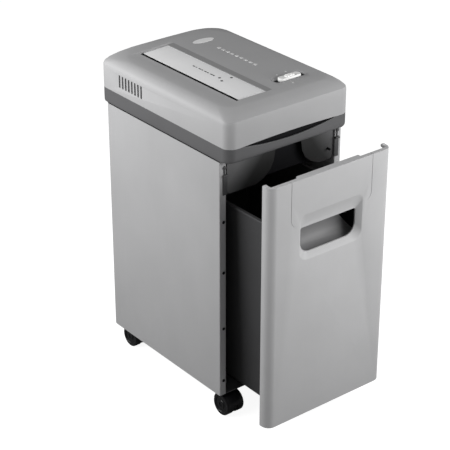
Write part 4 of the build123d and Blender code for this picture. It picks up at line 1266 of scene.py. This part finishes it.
    def switch_tray(self) -> None:
        """Silver dish round the power slider, with a dark track under it."""
        (x0, x1), (y0, y1), (z0, _) = self.switch
        mid = (y0 + y1) / 2
        way = (mid - self.track_half, mid + self.track_half)
        top = self.crown((x0 + x1) / 2, mid)
        outline = rounded((x0, x1), (y0, y1), (6.8, 6.8), lambda a, b: (a, b, z0))
        form = Form().raised(outline, (0, 0, top - 0.5 - z0))
        tools = Form().loft(
            rounded((x0 + 1.6, x1 - 1.6), (y0 + 1.6, y1 - 1.6), (5.6, 5.6),
                    lambda a, b: (a, b, top + 0.2)),
            rounded((x0 + 3.4, x1 - 3.4), (y0 + 2.4, y1 - 2.4), (4.8, 4.8),
                    lambda a, b: (a, b, 558.4)),
        )
        tools.block(self.track_x, way, (z0 - 5, 560))
        form.outward()
        tools.outward()
        form.carved(tools, tidy=0.3).piece(
            "switch_dish", "cabinet", self.finishes["head_silver_plastic"], "head_silver",
            ("switch_bezel",), 30.0)
        bed = rounded((x0 + 3.6, x1 - 3.6), (mid - 6.6, mid + 6.6), (5.0, 5.0),
                      lambda a, b: (a, b, 557.6))
        track = Form().raised(bed, (0, 0, 2.6)).outward()
        gap = Form().block(self.track_x, way, (550, 562))
        track.carved(gap).piece("switch_track", "cabinet", self.finishes["black_moulding"],
                                "black_plastic")
        marks = Form()
        for x, along in self.switch_dots:
            y = self.cabinet_front + along
            marks.rod(Axis.Z, (x, y, self.crown(x, y) - 0.5), 1.6, 0.65, 0.0, 18)
        marks.piece("switch_marks", "cabinet", self.finishes["marking_light"], "badge_metal")

    def slider(self) -> None:
        """White oblong power slider with a ribbed grip crown."""
        (x0, x1), (y0, y1), (z0, z1) = spans("switch_slider")
        mid_x, mid_y = (x0 + x1) / 2, (y0 + y1) / 2
        levels = []
        for slim, z in self.cap_levels:
            radii = (self.cap_corner - slim, self.cap_corner - slim)
            levels.append(rounded((x0 + slim, x1 - slim), (y0 + slim, y1 - slim), radii,
                                  lambda a, b, at=z: (a, b, at)))
        form = Form().loft(*levels)
        grip = rounded((mid_x - 9, mid_x + 9), (mid_y - 4, mid_y + 4), (3.5, 3.5),
                       lambda a, b: (a, b, 565.0))
        form.raised(grip, (0, 0, 2.4))
        for index in range(-3, 4):
            at = mid_x + index * self.rib_pitch
            form.block((at - 0.45, at + 0.45), (mid_y - 3.2, mid_y + 3.2), (566.8, z1), 0.2)
        form.block((mid_x - 4, mid_x + 4), (mid_y - 1.8, mid_y + 1.8), (z0, 561.5))
        form.outward()
        form.piece("power_slider_cap", "power_slider", self.finishes["slider_white_plastic"],
                   "slider_white", ("switch_slider",), 28.0)

    def badges(self) -> None:
        """A blank oval badge and a row of plain studs in place of any name."""
        (x0, x1), (y0, y1), _ = spans("badge")
        places = ((x0 + x1) / 2, (y0 + y1) / 2, (x1 - x0) / 2, (y1 - y0) / 2)
        form = Form()
        base = self._oval(*places, 1.0, -0.6)
        for scale, lift in self.badge_rings:
            upper = self._oval(*places, scale, lift)
            form.loft(base, upper)
            base = upper
        form.outward()
        form.piece("oval_badge", "cabinet", self.finishes["badge_foil"], "badge_metal",
                   ("badge",), 50.0)
        (x0, x1), (y0, y1), _ = spans("name_strip")
        mid_x, length = (x0 + x1) / 2, y1 - y0 - 8
        studs = Form()
        for index in range(self.stud_count):
            y = y0 + 4 + length * index / (self.stud_count - 1)
            z = self.crown(mid_x, y)
            studs.block((mid_x - 2.6, mid_x + 2.6), (y - 3.2, y + 3.2), (z - 0.6, z + 0.33), 0.25)
        studs.piece("name_studs", "cabinet", self.finishes["marking_light"], "badge_metal",
                    ("name_strip",))

    def _oval(self, x: float, y: float, across: float, along: float, scale: float,
              lift: float) -> list[Point]:
        """An oval outline that lies on the crown.

        Args:
            x: its middle across the head.
            y: its middle along the head.
            across: half its width.
            along: half its length.
            scale: its share of the full size.
            lift: its height above the crown.

        Returns:
            The outline's points in order.
        """
        points = []
        for step in range(40):
            turn = 2 * math.pi * step / 40
            px, py = x + across * scale * math.cos(turn), y + along * scale * math.sin(turn)
            points.append((px, py, self.crown(px, py) + lift))
        return points


# ---------------------------------------------------------------- bin drawer
@dataclass
class Drawer:
    """The pull-out bin: its silver front, handle moulding, pocket and dark box."""

    finishes: Finishes
    body: str = "bin_drawer"
    wall: float = 3.0
    corner: float = 14.5
    seam_half: float = 0.45
    seam_depth: float = 0.8
    seam_x: float = 84.0
    seam_end: float = 399.0
    step_x: tuple[Flat, ...] = ((64.0, 119.0), (-64.0, 64.0))
    step_depths: Flat = (8.0, 13.5)
    opening_half: float = 58.0
    opening: Span = (344.5, 390.0)
    dish: Span = (335.5, 416.0)
    dish_half: float = 66.0
    dish_depth: float = 8.0
    dish_slope: float = 18.0
    dish_draw: float = 0.45
    dish_corners: Flat = (18.0, 12.0)
    opening_corners: Flat = (20.0, 4.0)
    ear_inset: Span = (0.6, 7.0)
    peg: Point = (100.0, 2.5, 440.0)
    seam_radius: float = 16.0
    seam_steps: int = 10
    seam_sweep: float = 75
    pocket_wall: float = 2
    # the slanting edge of the pocket's painted shadow
    shadow_edge_top: float = 19.0
    shadow_edge_foot: float = 76.0
    box_halves: Flat = (80.0, 94.0)
    rim_half: float = 97.0
    rim_hole_half: float = 91.0
    step_half: float = 77.5
    notch_half: float = 75

    def __post_init__(self) -> None:
        """Read the front's place."""
        self.x, self.y, self.z = spans("drawer_front")
        self.front = self.y[0]
        self.rear = self.front + 20.0
        self.top = self.z[1] - 0.8

    def build(self) -> None:
        """Make every piece of the drawer."""
        self.tray()
        self.pocket()
        self.box()

    def tray(self) -> None:
        """Silver front with round corners, a dished hand hole and two fine seams."""
        half, front, rear, top = self.x[1], self.front, self.rear, self.top
        levels = [(half, front, rear, self.z[0]), (half, front, rear, top)]
        form = Form().stack(levels, self.corner, 10, front_only=True)
        for height in (self.z[0], top):
            rim = form.edges_where(lambda co: abs(co.z - height) < 0.01 and co.y < rear - 0.5)
            form.soften(rim, 1.8, 4)
        form.drop_faces(lambda co: co.y > rear - 0.01)
        form.walled(self.wall)
        behind = Form().loft(self._dish(-2.5, 1.0),
                             self._dish(self.dish_slope - 2.0, self.dish_depth + 2.2))
        form = form.carved(behind.outward(), union=True)
        tools = Form().loft(self._dish(-1.5, -0.02), self._dish(-0.2, 0.25), self._dish(2.2, 1.0),
                            self._dish(self.dish_slope, self.dish_depth))
        (outer, inner), upper = self.step_x, (top - self.wall - 1, top + 5)
        for side in Side:
            wing = sorted(side.value * place for place in outer)
            tools.block(wing, (front + self.step_depths[0], rear + 3), upper)
        tools.block((inner[0] - 1, inner[1] + 1), (front + self.step_depths[1], rear + 3), upper)
        form = form.carved(tools.outward())
        hole = rounded((-self.opening_half, self.opening_half), self.opening, self.opening_corners,
                       lambda a, b: (a, front - 2, b))
        tools = Form().raised(hole, (0, 30, 0))
        for side in Side:
            self.seam(tools, side)
        form = form.carved(tools.outward(), tidy=0.5)
        for side in Side:
            edge = sorted(side.value * (half - inset) for inset in self.ear_inset)
            form.block(edge, (rear - 5, rear), (top - 4.5, top + 0.8), 0.8)
        peg_x, peg_y, peg_z = self.peg
        form.rod(Axis.Y, (peg_x, front + peg_y, peg_z), 3.5, 12.1, 0.6)
        form.piece("drawer_tray", self.body, self.finishes["drawer_silver_plastic"], "head_silver",
                   ("drawer_front", "handle_panel"), 30.0)

    def seam(self, tools: Form, side: Side) -> None:
        """Add a fine groove that runs down from the front's top edge, curves inwards and fades.

        Args:
            tools: the form that it is added to.
            side: which hand of the drawer it is on.
        """
        radius, steps, half = self.seam_radius, self.seam_steps, self.seam_half
        middle = (self.seam_x - radius, self.seam_end + radius)
        path = [((self.seam_x, self.top + 4), (1.0, 0.0), 1.0)]
        for step in range(steps + 1):
            turn = math.radians(self.seam_sweep * step / steps)
            out = (math.cos(turn), -math.sin(turn))
            spot = (middle[0] + radius * out[0], middle[1] + radius * out[1])
            path.append((spot, out, 1.02 - step / steps))
        rim = [(x + ox * half * width, z + oz * half * width) for (x, z), (ox, oz), width in path]
        rim += [(x - ox * half * width, z - oz * half * width)
                for (x, z), (ox, oz), width in reversed(path)]
        outline = [(side.value * x, self.front - 2, z) for x, z in rim]
        tools.raised(outline, (0, 2 + self.seam_depth, 0))
        across = sorted(side.value * (self.seam_x + offset * half) for offset in (-1, 1))
        tools.block(across, (self.front + self.seam_depth, self.rear + 2),
                    (self.top - self.seam_depth, self.top + 3))

    def _dish(self, inset: float, depth: float) -> list[Point]:
        """The outline of the dished surround at one depth.

        Args:
            inset: how far its top edge is drawn in.
            depth: how far it lies behind the front.

        Returns:
            The outline's points in order.
        """
        low, high = self.dish[0] + inset * self.dish_draw, self.dish[1] - inset
        half = self.dish_half - inset * self.dish_draw
        return rounded((-half, half), (low, high), self.dish_corners,
                       lambda a, b: (a, self.front + depth, b))

    def pocket(self) -> None:
        """Grey pocket behind the hand hole, with a curved floor, and a black end piece that is
        painted shadow.
        """
        x, y, z = spans("handle_cup")
        wall = self.pocket_wall
        outside = [(y[0], z[0]), (y[0] + 14, z[0] + 0.5), (y[1] - 8, z[0] + 6),
                   (y[1] - 2, z[0] + 16), (y[1], z[0] + 30), (y[1], z[1] - 6), (y[1] - 6, z[1]),
                   (y[0], z[1])]
        inside = [(y[0] - 2, z[0] + wall), (y[0] + 13, z[0] + 2.5), (y[1] - 9, z[0] + 8),
                  (y[1] - 4, z[0] + 17), (y[1] - wall, z[0] + 30), (y[1] - wall, z[1] - 7),
                  (y[1] - 7, z[1] - wall), (y[0] - 2, z[1] - wall)]
        form = Form().raised([(x[0], py, pz) for py, pz in outside], (x[1] - x[0], 0, 0))
        form.outward()
        tools = Form().raised([(x[0] + wall, py, pz) for py, pz in inside],
                              (x[1] - x[0] - 2 * wall, 0, 0))
        whole = form.carved(tools.outward(), tidy=0.6)
        twin = whole.copied()
        grey, black = self._slant(y, z, x[1] + 2), self._slant(y, z, x[0] - 2)
        whole.carved(grey).piece("grip_pocket", self.body, self.finishes["grip_grey_plastic"],
                                 "grip_grey", ("handle_cup",), 40.0)
        # the pocket's black end is painted shadow, in place of the shade cast across the pocket's
        # back
        twin.carved(black).piece("grip_pocket_painted_shadow", self.body, self.finishes["black_moulding"],
                                 "black_plastic")

    def _slant(self, y: Span, z: Span, reach: float) -> Form:
        """All of the pocket's space to one side of the slanting edge of its painted shadow.

        Args:
            y: the pocket's low and high along Y.
            z: the pocket's low and high along Z.
            reach: how far the space reaches along X.

        Returns:
            The space as a solid.
        """
        start, high, low = y[0] - 4, z[1] + 2, z[0] - 4
        outline = [(self.shadow_edge_foot, start, low), (self.shadow_edge_top, start, high),
                   (reach, start, high), (reach, start, low)]
        return Form().raised(outline, (0, y[1] - y[0] + 8, 0)).outward()

    def box(self) -> None:
        """Dark tapered box with a rolled rim and a front notch for the pocket."""
        _, y, z = spans("bin_box")
        low_y, high_y = y[0] + 0.5, y[1] - 3
        (foot, head), rim_half = self.box_halves, self.rim_half
        form = Form().stack([(foot, low_y, high_y - 6, z[0]), (head, low_y, high_y, z[1])], 10.0, 8)
        form.soften(form.edges_where(lambda co: co.z < z[0] + 0.01), 3.0, 3)
        form.drop_faces(lambda co: co.z > z[1] - 0.01)
        form.walled(2.5)
        levels = [(rim_half, y[0], y[1], z[1] - 3.2), (rim_half, y[0], y[1], z[1])]
        rim = Form().stack(levels, 12.0, 8)
        rim.soften(rim.edges_where(lambda co: co.z > z[1] - 0.01), 1.0, 2)
        inside = (self.rim_hole_half, low_y + 3, high_y - 3)
        hole = Form().stack([(*inside, z[1] - 8), (*inside, z[1] + 8)], 8.0, 6)
        rim = rim.outward().carved(hole.outward())
        form = form.carved(rim, union=True)
        step = Form().block((-self.step_half, self.step_half), (low_y + 0.5, self.front + 45.5),
                            (332.0, z[1]))
        form = form.carved(step, union=True)
        notch = Form().block((-self.notch_half, self.notch_half), (low_y - 8, self.front + 43),
                             (334.5, z[1] + 40))
        form.carved(notch).piece("shred_bin", self.body, self.finishes["bin_dark_plastic"],
                                 "bin_dark", ("bin_box",), 35.0)


# ---------------------------------------------------------------- castors
@dataclass
class Castor:
    """One twin-wheel castor: a hood on its stem and two wheels on an axle."""

    finishes: Finishes
    corner: str
    radius: float = 20.0
    web_half: float = 3.6
    tyre_face: tuple[Flat, ...] = (
        (0.0, -1.5), (4.0, -1.5), (4.6, -0.2), (6.0, 0.0), (7.0, -0.3), (8.0, -1.6), (14.0, -1.8),
        (15.0, -0.4), (16.5, 0.0), (17.8, 0.0), (19.3, -0.5),
    )
    hood_radius: float = 22.4
    hood_inner: float = 20.8
    hood_top: float = 42.4
    hood_sweep: float = 160.0
    hood_start: float = 100.0
    trail: float = 18.0
    collar_z: float = 38.6

    def __post_init__(self) -> None:
        """Read the wheels' and the stem's places."""
        x, y, _ = spans(f"castor_wheels_{self.corner}")
        self.x = (x[0] + x[1]) / 2
        self.width = x[1] - x[0]
        self.axle_y = (y[0] + y[1]) / 2
        self.lead = -1 if self.corner.startswith("front") else 1
        self.stem_y = self.axle_y - self.lead * self.trail

    def build(self) -> None:
        """Make the hood and the wheels."""
        self.wheels()
        self.hood()

    def wheels(self) -> None:
        """Two rounded wheels with dished hubs, and the axle between."""
        form = Form()
        width = self.width / 2 - self.web_half
        inner = [(self.radius, -1.9), (self.radius, -width + 1.6), (19.4, -width + 0.4),
                 (18.0, -width), (0.0, -width)]
        for side in Side:
            face = (self.x + side.value * self.width / 2, self.axle_y, self.radius)
            profile = [(reach, along * side.value) for reach, along in (*self.tyre_face, *inner)]
            form.turned(Axis.X, face, profile, 56)
        form.rod(Axis.X, (self.x - 10, self.axle_y, self.radius), 2.95, 20)
        form.outward()
        form.piece(f"twin_wheels_{self.corner}", f"wheels_{self.corner}",
                   self.finishes["castor_black_nylon"], "castor_black",
                   (f"castor_wheels_{self.corner}",), 35.0)

    def hood(self) -> None:
        """Rounded hood over the wheels, with its web, collar and stem."""
        high, low = self.hood_radius, self.hood_inner
        axle = (self.x, self.axle_y, self.radius)
        profile = [(low, -15.0), (high - 1.2, -15.6), (high, -13.6), (high, 13.6),
                   (high - 1.2, 15.6), (low, 15.0)]
        form = Form().turned(Axis.X, axle, profile, 30, self.hood_sweep, self.hood_start - 180.0)
        open_edges = [e for e in form.mesh.edges if len(e.link_faces) == 1]
        bmesh.ops.holes_fill(form.mesh, edges=open_edges)
        form.outward()
        cap = Form().block((self.x - 30, self.x + 30), (self.axle_y - 60, self.axle_y + 60),
                           (self.hood_top, 90))
        form = form.carved(cap)
        stem = (self.x, self.stem_y, self.collar_z)
        web = Form().rod(Axis.X, (self.x - 2.9, self.axle_y, self.radius), 19.0, 5.8, 0.6, 40)
        web.rod(Axis.Z, stem, 8.0, 4.4, 0.8)
        web.block((self.x - 2.9, self.x + 2.9),
                  sorted((self.axle_y, self.stem_y + self.lead * 4)), (24, 39), 0.4)
        web.rod(Axis.Z, stem, 4.0, 28.0, 0.6)
        bore = Form().rod(Axis.X, (self.x - 6, self.axle_y, self.radius), 3.05, 12)
        web = web.carved(bore)
        merged = bpy.data.meshes.new("merge")
        web.mesh.to_mesh(merged)
        form.mesh.from_mesh(merged)
        bpy.data.meshes.remove(merged)
        form.piece(f"hood_{self.corner}", f"castor_{self.corner}",
                   self.finishes["castor_black_nylon"], "castor_black",
                   (f"castor_hood_{self.corner}",), 35.0)


# ---------------------------------------------------------------- mechanism
class Mechanism:
    """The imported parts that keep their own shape, each with its finish."""

    dressed = {
        "panel_dark_paint": ("base_plate",),
        "zinc_plate": ("base_runners", "castor_sockets", "head_screws", "cutter_frame_front",
                       "cutter_frame_rear", "tie_rods", "motor_bracket", "bin_screws"),
        "ground_steel": ("cutter_shaft_a", "cutter_shaft_b", "sync_gear_a", "sync_gear_b",
                         "output_gear", "idler_axle", "motor_pinion", "motor_rotor"),
        "motor_can_zinc": ("motor_housing",),
        "oiled_bronze": ("cutter_bearings",),
        "gear_natural_nylon": ("idler_gear",),
        "glide_nylon": ("bin_glides",),
        "board_laminate": ("control_board",),
        "black_moulding": ("throat_guide", "switch_body", "stripper_left", "stripper_right",
                           "motor_fan", "thermal_cutout", "paper_sensor_lever",
                           "sensor_bracket", "interlock_switch", "interlock_plunger",
                           "paper_chute"),
    }

    def __init__(self, finishes: Finishes, nodes: dict) -> None:
        """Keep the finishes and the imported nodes."""
        self.finishes = finishes
        self.nodes = nodes

    def build(self) -> None:
        """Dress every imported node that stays."""
        for finish, names in self.dressed.items():
            for name in names:
                for held in self.nodes[name].material_slots:
                    held.material = self.finishes[finish]
                LOG.info("%s: %s", name, finish)


# ---------------------------------------------------------------- studio
@dataclass
class Studio:
    """A plain pale floor, soft lights and the camera."""

    camera_place: Point = (-1.48226, -1.82190, 1.50912)
    azimuth: float = -38.461
    elevation: float = 27.452
    lens: float = 124.59
    sensor: float = 36.0
    far: float = 100.0
    ambient: float = 0.27
    floor_size: float = 30.0
    floor_drop: float = 0.0002
    glow: float = 0.92
    lamp_size: Flat = (1.0, 0.4)

    def build(self) -> None:
        """Make the floor, the lights, the world and the camera."""
        self.floor()
        self.world()
        self.lamp("left_bank", (-0.76, 0.34, 0.74), (0, 0.04, 0.42), 8.6)
        self.lamp("right_bank", (0.52, -0.92, 0.74), (0, -0.1, 0.42), 10.2)
        self.camera()

    def floor(self) -> None:
        """A pale floor that reaches far behind the machine."""
        mesh = bmesh.new()
        bmesh.ops.create_grid(mesh, x_segments=1, y_segments=1, size=self.floor_size)
        data = bpy.data.meshes.new("studio_floor")
        mesh.to_mesh(data)
        mesh.free()
        floor = bpy.data.objects.new("studio_floor", data)
        bpy.context.scene.collection.objects.link(floor)
        floor.location.z = -self.floor_drop
        data.materials.append(self.floor_paper())

    def floor_paper(self) -> bpy.types.Material:
        """White paper that looks evenly lit and still shows a faint contact shadow.

        Returns:
            The material.
        """
        shader = Shader("floor_paper")
        tone = shader.ramp(shader.noise(400.0, 3.0), [(0.3, 0.33), (0.7, 0.35)])
        paper = shader.node("ShaderNodeBsdfDiffuse", {}, {"Color": tone}, "BSDF")
        light = {"Color": (1.0, 1.0, 1.0, 1.0), "Strength": self.glow}
        glow = shader.node("ShaderNodeEmission", {}, light, "Emission")
        lit = shader.node("ShaderNodeAddShader", {}, {0: paper, 1: glow}, "Shader")
        seen = shader.node("ShaderNodeLightPath", {}, {}, "Is Camera Ray")
        surface = shader.node("ShaderNodeMixShader", {}, {0: seen, 1: paper, 2: lit}, "Shader")
        shader.tree.links.new(surface.socket, shader.output.inputs["Surface"])
        return shader.material

    def world(self) -> None:
        """A white surround that lights the machine only dimly."""
        world = bpy.data.worlds.new("surround")
        world.use_nodes = True
        tree = world.node_tree
        back = tree.nodes["Background"]
        back.inputs["Color"].default_value = (1.0, 1.0, 1.0, 1.0)
        path = tree.nodes.new("ShaderNodeLightPath")
        level = tree.nodes.new("ShaderNodeMapRange")
        level.inputs["To Min"].default_value = self.ambient
        level.inputs["To Max"].default_value = 1.0
        tree.links.new(path.outputs["Is Camera Ray"], level.inputs["Value"])
        tree.links.new(level.outputs["Result"], back.inputs["Strength"])
        bpy.context.scene.world = world

    def lamp(self, name: str, place: Point, aim: Point, power: float) -> None:
        """One soft oblong light aimed at a point.

        Args:
            name: the light's name.
            place: where it stands, in metres.
            aim: the point that it faces.
            power: its power in watts.
        """
        light = bpy.data.lights.new(name, "AREA")
        light.shape, light.energy = "RECTANGLE", power
        light.size, light.size_y = self.lamp_size
        held = bpy.data.objects.new(name, light)
        held.location = place
        held.rotation_euler = (Vector(aim) - Vector(place)).to_track_quat("-Z", "Y").to_euler()
        bpy.context.scene.collection.objects.link(held)

    def camera(self) -> None:
        """The camera, level, at the machine's front left."""
        turn, lift = math.radians(self.azimuth), math.radians(self.elevation)
        level = math.cos(lift)
        back = Vector((math.sin(turn) * level, -math.cos(turn) * level, math.sin(lift)))
        right = Vector((0, 0, 1)).cross(back).normalized()
        up = back.cross(right)
        view = bpy.data.cameras.new("view")
        view.lens, view.sensor_width, view.clip_end = self.lens, self.sensor, self.far
        held = bpy.data.objects.new("view", view)
        pose = Matrix((right, up, back)).transposed().to_4x4()
        held.matrix_world = Matrix.Translation(self.camera_place) @ pose
        bpy.context.scene.collection.objects.link(held)
        bpy.context.scene.camera = held


def main() -> None:
    """Build every sub-assembly round the frame."""
    logging.basicConfig(level=logging.INFO, format="%(message)s")
    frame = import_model()
    bpy.context.scene.view_settings.view_transform = "Standard"
    finishes = Finishes()
    builders = [Studio(), Cabinet(finishes), Head(finishes), Drawer(finishes)]
    corners = ("front_left", "front_right", "rear_left", "rear_right")
    builders += [Castor(finishes, corner) for corner in corners]
    builders.append(Mechanism(finishes, frame["nodes"]))
    for builder in builders:
        builder.build()


if __name__ == "__main__":
    main()
